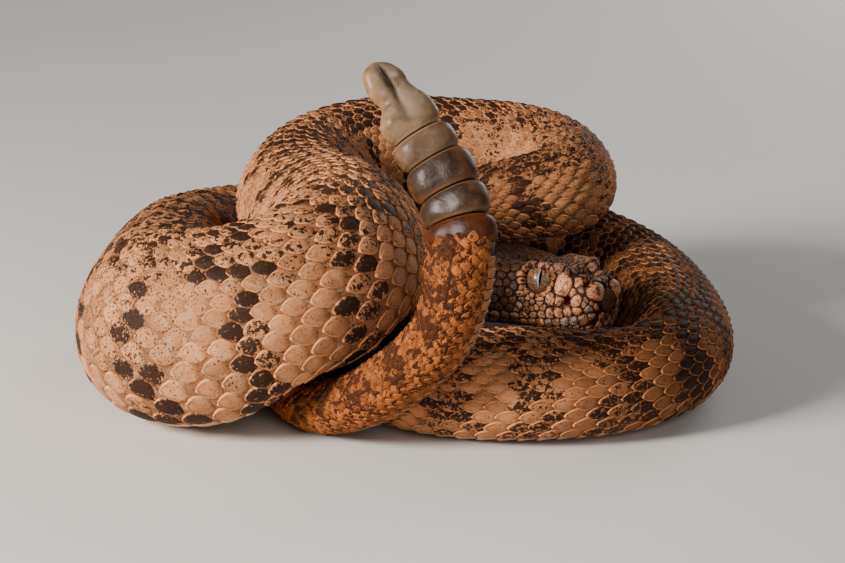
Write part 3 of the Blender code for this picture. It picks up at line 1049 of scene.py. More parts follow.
@dataclass(frozen=True)
class SkinFinish(Finish):
    """Skin or scales: ground colour, dark marking, fine dots, pale rims that are partly painted
    highlight, and painted shade inside the rims and at the roots.
    """

    surface: Surface
    pale: Colour = (0.56, 0.235, 0.098)
    bleached: Colour = (0.60, 0.37, 0.22)
    brown: Colour = (0.27, 0.098, 0.036)
    orange: Colour = (0.27, 0.082, 0.022)
    dark: Colour = (0.008, 0.0055, 0.0055)
    dusk: Colour = (0.032, 0.012, 0.006)
    rust: Colour = (0.048, 0.014, 0.006)
    # Rim colours: partly the scales' own pale edges, partly painted highlight where the edges catch the
    # light
    rim: Colour = (0.80, 0.34, 0.14)
    rim_brown: Colour = (0.58, 0.225, 0.075)
    rim_orange: Colour = (0.42, 0.115, 0.022)
    between: Colour = (0.22, 0.090, 0.038)
    between_brown: Colour = (0.030, 0.010, 0.004)
    belly: Colour = (0.68, 0.40, 0.21)
    roughness: float = 0.66

    def paint(self, sheet: Sheet) -> None:
        """Lays out the material.

        Args:
            sheet: The empty sheet of its nodes.
        """
        mark, brown, warm = sheet.read("mark"), sheet.read("brown"), sheet.read("warm")
        chance, edge, tip = sheet.read("chance"), sheet.read("edge"), sheet.read("tip")
        dots, bright = sheet.read("dots"), sheet.read("bright")
        cloud = sheet.noise(230)
        speck = sheet.noise(3300, 0.6)
        grain = sheet.noise(9500)
        hind = brown.most(warm)
        ground = sheet.mix(brown, self.pale, self.brown)
        ground = sheet.mix(warm, ground, self.orange)
        if self.surface is Surface.BARE:
            ground = sheet.mix(0.75, ground, sheet.mix(hind, self.between, self.between_brown))
        if self.surface is Surface.BELLY:
            ground = sheet.mix(0.75 - 0.6 * warm, ground, self.belly)
        # The ground's value: a random tone, plus the painted light and shade that chance carries on the
        # trunk scales
        shade = 0.68 + (0.40 + 0.3 * warm) * chance + 0.8 * (cloud - 0.5)
        ground = sheet.add("ShaderNodeHueSaturation", None, {"Value": shade, "Color": ground}).outputs[0]
        dotted = sheet.dots(2300, 0.30).most(sheet.dots(4300, 0.36)) * dots.rise(0.0, 0.5)
        dotted = dotted.most((speck + 0.05 * dots).rise(0.61, 0.66) * dots)
        patch = sheet.noise(700, 0.6)
        ground = sheet.mix(patch.rise(0.52, 0.68) * dots * 0.45, ground, self.brown)
        ground = sheet.mix((1 - patch).rise(0.52, 0.66) * (1 - hind) * 0.30, ground, self.bleached)
        ground = sheet.mix(dotted * 0.9, ground, self.dusk)
        ink = sheet.mix(0.15 + hind * 0.45 + 0.5 * chance * cloud, self.dark, self.dusk)
        ink = sheet.mix(warm * 0.8, ink, self.rust)
        blots = sheet.read("blots")
        blot = (sheet.noise(900, 0.6) + 0.10 * blots).rise(0.585, 0.635) * blots.rise(0.0, 0.4)
        ragged = sheet.noise(1900, 0.7) + 0.6 * speck
        ink_share = mark.most(blot * 0.9) - 0.42 * edge * edge * (1 - 0.7 * hind)
        broken = (ink_share + 1.9 * (ragged - 0.79) * (mark.most(blot) * 4).rise(0, 1)).rise(0.30, 0.56)
        painted = sheet.mix(broken * (0.94 + 0.03 * hind), ground, ink)
        if self.surface is Surface.SCALES:
            rim_colour = sheet.mix(brown, self.rim, self.rim_brown)
            rim_colour = sheet.mix(warm, rim_colour, self.rim_orange)
            # Pale line along the rim towards the tip: partly the scale's edge colour, partly painted
            # highlight
            line = edge.rise(0.74, 0.93) * tip.rise(-0.3, 0.4) * bright
            painted = sheet.mix(line * (0.95 - 0.5 * broken), painted, rim_colour)
            # Darker band just inside the rim towards the tip: painted shade
            inner = edge.rise(0.42, 0.72) * (1 - edge.rise(0.74, 0.86)) * tip.rise(-0.1, 0.6)
            painted = sheet.mix(inner * 0.45 * bright, painted, self.dusk)
            # Painted shade at the scale's root, where it slips under its neighbours' tips
            root = 1 - tip.rise(-0.9, -0.2)
            painted = sheet.mix(root * (0.35 + 0.4 * bright), painted, self.dusk)
        height = grain * 0.5 + speck * 0.5
        bump = sheet.bump(height, 0.00006, 0.4)
        rough = self.roughness + 0.25 * (grain - 0.5) - 0.08 * broken
        sheet.surface(painted, rough, Normal=bump, Specular_IOR_Level=0.07)


@dataclass(frozen=True)
class HeadFinish(Finish):
    """The head's plates and granules: dusty pink plates, each its own tone, with dark dots. The tone
    also carries painted shade on the crown, the snout's front, behind the eye and at the back of the
    head.
    """

    bare: bool
    pink: Colour = (0.58, 0.250, 0.120)
    tan: Colour = (0.52, 0.180, 0.060)
    bleached: Colour = (0.66, 0.40, 0.25)
    grey: Colour = (0.32, 0.245, 0.195)
    brown: Colour = (0.052, 0.021, 0.010)
    dark: Colour = (0.010, 0.005, 0.004)
    pit: Colour = (0.060, 0.005, 0.003)
    roughness: float = 0.52

    def paint(self, sheet: Sheet) -> None:
        """Lays out the material.

        Args:
            sheet: The empty sheet of its nodes.
        """
        tone, chance, edge = sheet.read("tone"), sheet.read("chance"), sheet.read("edge")
        speck, fleck, grain = sheet.noise(3900, 0.6), sheet.noise(1500, 0.6), sheet.noise(12000)
        ground = sheet.mix(chance.rise(0.1, 0.6) * 0.85, self.pink, self.tan)
        ground = sheet.mix(chance.rise(0.74, 0.80) * 0.8, ground, self.grey)
        ground = sheet.mix((1 - fleck).rise(0.52, 0.70) * 0.35, ground, self.bleached)
        # Low tone turns the plate brown: partly the plates' own tone, partly painted shade
        ground = sheet.mix((1 - tone) * 0.95, ground, self.brown)
        ground = sheet.mix(fleck.rise(0.50, 0.66) * 0.75, ground, self.brown)
        dotted = sheet.dots(3600, 0.34).most(speck.rise(0.56, 0.60))
        ground = sheet.mix(dotted * 0.9, ground, self.dark)
        if self.bare:
            opening = sheet.read("pit")
            ground = sheet.mix(0.90 - 0.60 * opening.rise(0.08, 0.3), ground, self.dark)
            ground = sheet.mix(opening.rise(0.36, 0.56), ground, self.pit)
        else:
            ground = sheet.mix(edge.rise(0.80, 1.0) * 0.8, ground, self.dark)
        bump = sheet.bump(grain * 0.4 + speck * 0.6, 0.00007, 0.5)
        rough = self.roughness + 0.25 * (grain - 0.5)
        gloss = 0.04 if self.bare else 0.22
        sheet.surface(ground, rough, Normal=bump, Specular_IOR_Level=gloss)


@dataclass(frozen=True)
class HornFinish(Finish):
    """Glossy, slightly clear horn: smoky brown with ochre towards its edges, and painted shade in the
    crevice at each end.
    """

    middle: Colour = (0.032, 0.015, 0.0068)
    ochre: Colour = (0.135, 0.056, 0.019)
    edge: Colour = (0.15, 0.082, 0.038)
    smoke: Colour = (0.013, 0.005, 0.002)
    haze: Colour = (0.066, 0.040, 0.022)
    roughness: float = 0.40
    gloss: float = 0.22

    def paint(self, sheet: Sheet) -> None:
        """Lays out the material.

        Args:
            sheet: The empty sheet of its nodes.
        """
        up, side, lip = sheet.read("up"), sheet.read("side"), sheet.read("lip")
        cloud, streak, mottle = sheet.noise(420, 0.6), sheet.noise(2400, 0.6), sheet.noise(1100)
        colour = sheet.mix(side.size().rise(0.52, 0.96) * 0.85, self.middle, self.ochre)
        colour = sheet.mix(cloud.rise(0.42, 0.66) * 0.7, colour, self.smoke)
        colour = sheet.mix(mottle.rise(0.52, 0.72) * 0.45, colour, self.haze)
        colour = sheet.mix((1 - up.rise(0.0, 0.22)) * 0.6, colour, self.ochre)
        colour = sheet.mix(lip.rise(0.25, 0.6) * 0.8, colour, self.edge)
        # Painted shade in the crevice at each end, where one segment nests in the next
        colour = sheet.mix(lip.rise(0.72, 0.98) * 0.9, colour, self.smoke)
        colour = sheet.mix(streak.rise(0.60, 0.72) * 0.35, colour, self.haze)
        bump = sheet.bump(mottle * 0.7 + streak * 0.3, 0.00030, 0.35)
        rough = self.roughness + 0.25 * (streak - 0.4)
        sheet.surface(
            colour,
            rough,
            Normal=bump,
            Specular_IOR_Level=self.gloss,
            Subsurface_Weight=0.2,
            Subsurface_Radius=(1.0, 0.6, 0.35),
            Subsurface_Scale=0.001,
            Coat_Weight=0.05,
            Coat_Roughness=0.2,
        )


@dataclass(frozen=True)
class EyeFinish(Finish):
    """The eye: a speckled pale iris, an upright slit of a pupil with a painted reflection beside it, and
    a clear wet coat.
    """

    iris: Colour = (0.33, 0.165, 0.080)
    iris_dark: Colour = (0.045, 0.020, 0.010)
    # Grey of the painted reflection beside the pupil
    ring: Colour = (0.52, 0.53, 0.52)
    pupil: Colour = (0.002, 0.002, 0.002)
    slit_width: float = 0.085
    slit_height: float = 0.60

    def paint(self, sheet: Sheet) -> None:
        """Lays out the material.

        Args:
            sheet: The empty sheet of its nodes.
        """
        across, upright = sheet.read("across"), sheet.read("upright")
        speck, vein = sheet.noise(4200, 0.65, 3.0), sheet.noise(9000, 0.65, 3.0)
        lens = (1 - (upright / self.slit_height) ** 2).most(0.0)
        off = across.size() - self.slit_width * lens
        iris = sheet.mix(speck.rise(0.40, 0.58) * 0.9, self.iris, self.iris_dark)
        iris = sheet.mix(vein.rise(0.50, 0.62) * 0.75, iris, self.iris_dark)
        iris = sheet.mix((1 - upright.rise(-0.45, 0.05)) * 0.35, iris, self.iris_dark)
        around = across * across + upright * upright
        iris = sheet.mix(sheet.noise(1500, 0.6).rise(0.48, 0.62) * 0.5, iris, self.iris_dark)
        iris = sheet.mix(around.rise(0.60, 0.76) * 0.95, iris, self.pupil)
        # Painted reflection: a grey patch on one side of the slit
        painted_reflection = (1 - off.rise(0.01, 0.10)) * lens.rise(0.0, 0.3) * (0.35 - across).rise(0.25, 0.5)
        iris = sheet.mix(painted_reflection * (0.35 + 0.4 * vein.rise(0.3, 0.6)), iris, self.ring)
        slit = (1 - off.rise(-0.012, 0.012)) * lens.rise(0.0, 0.02)
        colour = sheet.mix(slit, iris, self.pupil)
        sheet.surface(
            colour,
            0.4 - 0.2 * slit,
            Normal=sheet.bump(vein, 0.00002, 0.2),
            Specular_IOR_Level=0.2,
            Coat_Weight=0.25,
            Coat_Roughness=0.06,
        )


@dataclass(frozen=True)
class FloorFinish(Finish):
    """A plain, pale, matt floor."""

    colour: Colour = (0.72, 0.70, 0.67)

    def paint(self, sheet: Sheet) -> None:
        """Lays out the material on an empty sheet."""
        sheet.surface(self.colour, 0.8)


def mesh_object(
    name: str, points: Array, faces: Iterable[Sequence[int]], material: Material | None = None
) -> Piece:
    """Makes a smooth mesh in the scene.

    Args:
        name: The object's name.
        points: Its points, in millimetres.
        faces: Its faces, as numbers of points.
        material: Its material.

    Returns:
        The object.
    """
    mesh = bpy.data.meshes.new(name)
    mesh.from_pydata((np.asarray(points).reshape(-1, 3) * MM).tolist(), [], list(faces))
    mesh.shade_smooth()
    if material is not None:
        mesh.materials.append(material)
    piece = bpy.data.objects.new(name, mesh)
    bpy.context.scene.collection.objects.link(piece)
    return piece


def store(piece: Piece, **tables: Array) -> None:
    """Stores numbers, or rows of three, on a mesh's points, each table under its name.

    Args:
        piece: The mesh that takes the tables.
        tables: One number, or one row of three, for each point.
    """
    for name, table in tables.items():
        kind, key = ("FLOAT", "value") if np.ndim(table) == 1 else ("FLOAT_VECTOR", "vector")
        layer = piece.data.attributes.new(name, kind, "POINT")
        layer.data.foreach_set(key, np.asarray(table, np.float32).ravel())


def grid_faces(rows: int, columns: int, ring: bool = True, start: int = 0) -> list[Sequence[int]]:
    """Faces between rows of points.

    Args:
        rows: How many rows there are.
        columns: How many points each row has.
        ring: Whether each row closes to a ring, whose faces point outwards.
        start: Number of the first point.

    Returns:
        The faces.
    """
    faces: list[Sequence[int]] = []
    for i in range(rows - 1):
        for j in range(columns if ring else columns - 1):
            k = (j + 1) % columns
            near, far = start + i * columns, start + (i + 1) * columns
            faces.append((near + j, near + k, far + k, far + j))
    return faces


def capped_faces(rows: int, columns: int) -> list[Sequence[int]]:
    """Faces between rings of points, closed at both ends.

    Args:
        rows: How many rings there are.
        columns: How many points each ring has.

    Returns:
        The faces. Two points follow the rings': the middle of the first ring and of the last.
    """
    faces = grid_faces(rows, columns)
    first, last = rows * columns, (rows - 1) * columns
    faces += [(first, (j + 1) % columns, j) for j in range(columns)]
    faces += [(first + 1, last + j, last + (j + 1) % columns) for j in range(columns)]
    return faces


def close_outwards(piece: Piece) -> None:
    """Turns all the faces of a closed mesh outwards.

    Args:
        piece: A closed mesh.
    """
    builder = bmesh.new()
    builder.from_mesh(piece.data)
    bmesh.ops.recalc_face_normals(builder, faces=builder.faces)
    builder.to_mesh(piece.data)
    builder.free()
    piece.data.shade_smooth()


def finish_piece(piece: Piece, slot: str, *replaced: str) -> None:
    """Says what a piece rides on and which solids it stands for, and logs its points and triangles.

    Args:
        piece: The finished mesh.
        slot: What the piece is made of. Not used.
        replaced: The solids that it stands for.
    """
    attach(piece, BODY_OF_ALL)
    if replaced:
        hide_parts(*replaced)
    corners = sum(len(face.vertices) - 2 for face in piece.data.polygons)
    log.info("%s: %d points, %d triangles", piece.name, len(piece.data.vertices), corners)


@dataclass
class Skin:
    """The one skin over the whole animal, and the form that the scales lie on."""

    form: SkinForm
    markings: Markings
    bake_strips: int = 3
    head_skin_end: float = 21.5

    def build(self) -> Piece:
        """Makes the skin, closed at the snout and under the rattle's base.

        Returns:
            The skin.
        """
        form = self.form
        count = int(np.searchsorted(form.rows, form.tail_end + 0.3))
        piece = self.cover("skin", count, closed=True)
        body = SkinFinish("bare_skin", Surface.BARE).build()
        head = HeadFinish("bare_head_skin", bare=True).build()
        piece.data.materials.append(body)
        piece.data.materials.append(head)
        self.dress(piece, count)
        finish_piece(piece, "skin_tan", *FLESH_NODES)
        return piece

    def carrier(self) -> Piece:
        """Makes the helper that scales are laid on: the skin's form and a little more.

        Returns:
            The helper, with its lie as a UV map and its outward directions.
        """
        form = self.form
        piece = self.cover("carrier", len(form.rows), closed=False)
        store(piece, outward=form.outward.reshape(-1, 3))
        piece.hide_render = True
        return piece

    def cover(self, name: str, count: int, closed: bool) -> Piece:
        """Makes a mesh over the first rows of the form.

        Args:
            name: The object's name.
            count: How many rows it has.
            closed: Whether both ends are closed.

        Returns:
            The object, with the UV map named lie.
        """
        form = self.form
        points = form.points[:count].reshape(-1, 3)
        if closed:
            ends = [form.points[0].mean(axis=0), form.points[count - 1].mean(axis=0)]
            points = np.concatenate([points, ends])
        faces = capped_faces if closed else grid_faces
        piece = mesh_object(name, points, faces(count, form.columns))
        self.lay_map(piece, "lie", count, strips=1)
        if closed:
            self.lay_map(piece, "OFBake", count, strips=self.bake_strips)
        return piece

    def lay_map(self, piece: Piece, name: str, count: int, strips: int) -> None:
        """Lays the skin out flat, along by around, in one strip or in several.

        Args:
            piece: The skin.
            name: The UV map's name.
            count: How many rows it has.
            strips: How many strips it is cut into.
        """
        form = self.form
        columns = form.columns
        corners = np.empty(len(piece.data.loops), np.int32)
        piece.data.loops.foreach_get("vertex_index", corners)
        quads = (count - 1) * columns
        row, column = np.divmod(corners[: quads * 4], columns)
        face = np.arange(quads).repeat(4)
        column = np.where((face % columns == columns - 1) & (column == 0), columns, column)
        whole = form.rows[-1] if strips == 1 else form.rows[count - 1] * 1.0001
        span = whole / strips
        strip = np.floor(form.rows[face // columns] / span)
        u = (form.rows[row] - strip * span) / span
        v = (strip + column / columns) / strips
        flat = np.zeros((len(corners), 2), np.float32)
        flat[: quads * 4] = np.stack([u, v], axis=1)
        ends = corners[quads * 4 :]
        flat[quads * 4 :, 0] = np.where(ends == ends.max(initial=0), 0.999, 0.001)
        flat[quads * 4 :, 1] = 0.5 + 0.001 * (np.arange(len(ends)) % 3)
        if strips > 1:
            flat = 0.004 + flat * 0.992
        layer = piece.data.uv_layers.new(name=name)
        layer.uv.foreach_set("vector", flat.ravel())

    def dress(self, piece: Piece, count: int) -> None:
        """Stores the markings on the skin, and gives the head its own material.

        Args:
            piece: The skin.
            count: How many rows it has.
        """
        form = self.form
        along = np.repeat(form.along[:count], form.columns)
        angles = np.tile(form.angles, count)
        mark = self.markings.darkness(along, angles, np.full(len(along), 0.6))
        mark = mark * (0.22 + 0.6 * self.markings.hindness(along))
        tables = {
            "mark": mark,
            "brown": self.markings.brownness(along, angles),
            "warm": self.markings.warmth(along),
            "dots": 0.45 + 0.4 * self.markings.smoothness(along, angles),
            "blots": self.markings.blots(along, angles) * 0.6,
            "chance": np.full(len(along), 0.5),
            "tone": np.full(len(along), 0.4),
        }
        points = form.points[:count].reshape(-1, 3)
        pits = np.zeros(len(along))
        for hand in (1, -1):
            for distance, degrees, size in OPENINGS:
                centre = form.spot(distance, degrees * hand)
                gap = np.linalg.norm(points - centre, axis=1)
                pits = np.maximum(pits, 1 - ramp(gap, size * 0.5, size * 1.3))
        tables["pit"] = pits
        ends = np.zeros(2)
        store(piece, **{name: np.concatenate([table, ends]) for name, table in tables.items()})
        quads = (count - 1) * form.columns
        head = np.zeros(len(piece.data.polygons), np.int32)
        head[:quads] = form.along[np.arange(quads) // form.columns] < self.head_skin_end
        head[quads : quads + form.columns] = 1
        piece.data.polygons.foreach_set("material_index", head)


@dataclass
class Templates:
    """The shapes that are repeated: a keeled scale and a broad belly plate.

    Each is drawn in shares: its length from -1 at the root to 1 at the tip, its width from -1 to
    1, and its height from 0 at the skin to 1.
    """

    stations: tuple[float, ...] = (-0.7, -0.3, 0.15, 0.52, 0.82)
    lanes: tuple[float, ...] = (-1.0, -0.78, -0.36, 0.0, 0.36, 0.78, 1.0)
    belly_lanes: int = 12

    def __post_init__(self) -> None:
        """Makes both shapes as hidden helpers."""
        self.scale = self.make_scale()
        self.belly_plate = self.make_belly_plate()

    def clear(self) -> None:
        """Removes the helpers."""
        for helper in (self.scale, self.belly_plate):
            bpy.data.objects.remove(helper)

    def make_scale(self) -> Piece:
        """A leaf-shaped scale: sunk at its root, raised and round at its tip, thick at its rim.

        Returns:
            The shape, drawn in shares.
        """

        def half_width(x: float) -> float:
            """Half width at a place along the scale.

            Args:
                x: Place along the scale.

            Returns:
                A share of the half width at its middle.
            """
            if x < 0.0:
                return max(0.0, 1 - abs(x) ** 1.9) ** 0.85
            return max(0.0, 1 - x**1.6) ** 0.80

        def height(x: float, y: float) -> float:
            """Height of the top at a place along and across.

            Args:
                x: Place along the scale.
                y: Place across it.

            Returns:
                How high the top stands there.
            """
            slope = ramp(x, -1.2, 1.9)
            round_off = 1 - 0.22 * max(0.0, (x - 0.5) / 0.5) ** 2
            crown = 1 - 0.38 * abs(y) ** 2.4
            return float(slope * round_off * crown) - 0.12

        points: list[tuple[float, float, float]] = [(-1.0, 0.0, -0.35)]
        extras = [(1.0, 0.0)]
        for x in self.stations:
            for y in self.lanes:
                points.append((x, y * half_width(x), height(x, y)))
                rim = max(abs(y), 1 - (1 - x) / 0.75)
                extras.append((rim, float(bell(y, 0.2)) * (1 - abs(x) ** 3)))
        points.append((1.0, 0.0, height(1.0, 0.0) - 0.05))
        extras.append((1.0, 0.0))
        rows, lanes = len(self.stations), len(self.lanes)
        tip = len(points) - 1
        first = [1 + j for j in range(lanes)]
        last = [1 + (rows - 1) * lanes + j for j in range(lanes)]
        faces: list[Sequence[int]] = []
        for j in range(lanes - 1):
            faces.append((0, first[j + 1], first[j]))
            faces.append((tip, last[j], last[j + 1]))
        faces += grid_faces(rows, lanes, ring=False, start=1)
        rim = [0, *(1 + i * lanes for i in range(rows)), tip]
        rim += [1 + i * lanes + lanes - 1 for i in reversed(range(rows))]
        start = len(points)
        for number in rim:
            x, y, z = points[number]
            points.append((x * 0.97, y * 0.94, min(z - 0.42, -0.3) if x > -0.9 else z - 0.2))
            extras.append((1.0, 0.0))
        for n, number in enumerate(rim):
            m = (n + 1) % len(rim)
            faces.append((number, rim[m], start + m, start + n))
        faces.append(tuple(start + n for n in range(len(rim))))
        return self.shape("scale_shape", points, faces, extras)

    def make_belly_plate(self) -> Piece:
        """A broad plate across the belly, its tailward edge raised and round.

        Returns:
            The shape, drawn in shares.
        """
        stations = ((-1.0, -0.5), (-0.5, 0.1), (0.3, 0.6), (0.85, 1.0), (1.0, 0.8), (0.97, -0.4))
        lanes = [-1 + 2 * j / self.belly_lanes for j in range(self.belly_lanes + 1)]
        points: list[tuple[float, float, float]] = []
        extras = []
        for x, z in stations:
            for y in lanes:
                end = 1 - 0.5 * max(0.0, (abs(y) - 0.8) / 0.2) ** 2
                points.append((x * end + 0.10 * abs(y) ** 3, y, z if abs(y) < 0.99 else -0.4))
                extras.append((max(abs(y), max(0.0, x)), 0.0))
        rows, count = len(stations), len(lanes)
        faces = grid_faces(rows, count, ring=False)
        last = (rows - 1) * count
        faces += [(j, last + j, last + j + 1, j + 1) for j in range(count - 1)]
        faces.append(tuple(i * count for i in range(rows)))
        faces.append(tuple(i * count + count - 1 for i in reversed(range(rows))))
        return self.shape("belly_plate_shape", points, faces, extras)

    @staticmethod
    def shape(
        name: str,
        points: Sequence[tuple[float, float, float]],
        faces: Sequence[Sequence[int]],
        extras: Sequence[tuple[float, float]],
    ) -> Piece:
        """Makes a template from its points in shares.

        Args:
            name: The helper's name.
            points: Its points.
            faces: Its faces.
            extras: Closeness to the outline and share of the keel, for each point.

        Returns:
            The helper.
        """
        shares = np.array(points)
        piece = mesh_object(name, shares / MM, faces)
        edge, keel = np.array(extras).T
        store(piece, tip=shares[:, 0], across=shares[:, 1], edge=edge, keel=keel)
        close_outwards(piece)
        piece.hide_render = True
        return piece


@dataclass
class Roots:
    """Where the shapes of one coat piece are rooted, with their sizes and colours."""

    place: Array
    angle: Array
    length: Array
    width: Array
    height: Array
    turn: Array
    ridge: Array
    colours: dict[str, Array]

    def keep(self, chosen: Array) -> Roots:
        """The chosen roots only.

        Args:
            chosen: True for each root that stays.

        Returns:
            The roots that stay.
        """
        *sizes, colours = vars(self).values()
        kept = {name: numbers[chosen] for name, numbers in colours.items()}
        return Roots(*(numbers[chosen] for numbers in sizes), kept)


class CoatTree(Sheet):
    """A Geometry Nodes tree that bends shapes to the skin.

    Each shape lies round its root, which stands on the skin's flat lie. A point of a shape is
    moved to its place on that lie, put on the carrier there and lifted off along its outward
    direction.
    """

    def __init__(self, repeated: bool) -> None:
        """Builds the tree.

        Args:
            repeated: Whether one shape is repeated on the roots, or the plates are all there.
        """
        name = "repeat_scales" if repeated else "bend_plates"
        super().__init__(bpy.data.node_groups.new(name, "GeometryNodeTree"))
        self.sockets: dict[str, str] = {}
        kinds = {"Roots": "Geometry", "Carrier": "Object", "Shape": "Object", "Finish": "Material"}
        sizes = ("Whole length", "First place", "Last place", "Floor", "Patch", "Keel")
        for socket_name in (*kinds, *sizes):
            self.sockets[socket_name] = self.socket(socket_name, kinds.get(socket_name, "Float"))
        self.socket("Coat", "Geometry", "OUTPUT")
        self.given = self.add("NodeGroupInput").outputs
        coat = self.given["Roots"]
        if repeated:
            coat = self.repeat()
        self.local = self.split(self.add("GeometryNodeInputPosition").outputs[0])
        self.place, self.angle, _ = self.split(self.stored("root", "FLOAT_VECTOR"))
        self.lay(self.bend(self.result("GeometryNodeRealizeInstances", None, {0: coat})))

    def socket(self, name: str, kind: str, side: str = "INPUT") -> str:
        """Adds an input or output of the tree, and gives its identifier."""
        kind = f"NodeSocket{kind}"
        return self.tree.interface.new_socket(name, in_out=side, socket_type=kind).identifier

    def result(self, *description: Any) -> Socket:
        """The first output of a new node."""
        return self.add(*description).outputs[0]

    def stored(self, name: str, kind: str = "FLOAT") -> Socket:
        """A named attribute."""
        return self.result("GeometryNodeInputNamedAttribute", {"data_type": kind}, {0: name})

    def split(self, vector: Socket) -> tuple[Value, Value, Value]:
        """The three numbers of a vector."""
        node = self.add("ShaderNodeSeparateXYZ", None, {0: vector})
        return self.value(node, 0), self.value(node, 1), self.value(node, 2)

    def join(self, x: Any, y: Any, z: Any) -> Socket:
        """A vector of three numbers."""
        return self.result("ShaderNodeCombineXYZ", None, {0: x, 1: y, 2: z})

    def info(self, name: str) -> Socket:
        """The geometry of an object that is an input."""
        node = self.add("GeometryNodeObjectInfo", None, {"Object": self.given[name]})
        return node.outputs["Geometry"]

    def repeat(self) -> Socket:
        """One shape on each root, with the root's size and turn.

        Returns:
            The instances.
        """
        values = {
            "Points": self.given["Roots"],
            "Instance": self.info("Shape"),
            "Rotation": self.join(0.0, 0.0, self.stored("turn")),
            "Scale": self.stored("size", "FLOAT_VECTOR"),
        }
        return self.result("GeometryNodeInstanceOnPoints", None, values)

    def on_carrier(self, value: Any, flat: Any) -> Socket:
        """A vector of the carrier, read where its flat lie has the point.

        Args:
            value: What is read from the carrier.
            flat: Where to read it.

        Returns:
            The vector at each point.
        """
        values = {
            "Mesh": self.info("Carrier"),
            "Value": value,
            "Source UV Map": self.stored("lie", "FLOAT_VECTOR"),
            "Sample UV": flat,
        }
        return self.result("GeometryNodeSampleUVSurface", {"data_type": "FLOAT_VECTOR"}, values)

    def bend(self, coat: Socket) -> Socket:
        """Puts the shapes' points on the carrier and lifts them off, but never under the floor.

        Args:
            coat: The flat shapes.

        Returns:
            The bent shapes.
        """
        local_x, local_y, local_z = self.local
        per_place, per_angle, _ = self.split(self.stored("metric", "FLOAT_VECTOR"))
        along = (self.place + local_x * per_place) / self.given["Whole length"]
        around = (self.angle + local_y * per_angle) / TURN + 0.5
        flat = self.join(along.most(0.0005), around.math("FRACT", around), 0.0)
        foot = self.on_carrier(self.result("GeometryNodeInputPosition"), flat)
        outward = self.on_carrier(self.stored("outward", "FLOAT_VECTOR"), flat)
        keel = Value(self, self.stored("keel")) * self.stored("ridge") * self.given["Keel"]
        values = {0: outward, "Scale": (local_z + keel) * MM}
        lift = self.result("ShaderNodeVectorMath", {"operation": "SCALE"}, values)
        lifted = self.result("ShaderNodeVectorMath", {"operation": "ADD"}, {0: foot, 1: lift})
        x, y, z = self.split(lifted)
        position = self.join(x, y, z.most(self.given["Floor"]))
        return self.result("GeometryNodeSetPosition", None, {0: coat, "Position": position})

    def lay(self, coat: Socket) -> None:
        """Lays the coat's map out, a small patch round each root, and ends the tree.

        Args:
            coat: The bent shapes.
        """
        first, last = (Value(self, self.given[name]) for name in ("First place", "Last place"))
        u = (self.place - first) / (last - first) * 0.98 + 0.01
        v = (self.angle / TURN + 0.5) * 0.98 + 0.01
        u = u + Value(self, self.stored("tip")) * self.given["Patch"]
        v = v + Value(self, self.stored("across")) * self.given["Patch"]
        mapped = self.result(
            "GeometryNodeStoreNamedAttribute",
            {"data_type": "FLOAT2", "domain": "CORNER"},
            {"Geometry": coat, "Name": "OFBake", "Value": self.join(u, v, 0.0)},
        )
        values = {"Geometry": mapped, "Material": self.given["Finish"]}
        dressed = self.result("GeometryNodeSetMaterial", None, values)
        self.add("NodeGroupOutput", None, {0: dressed})


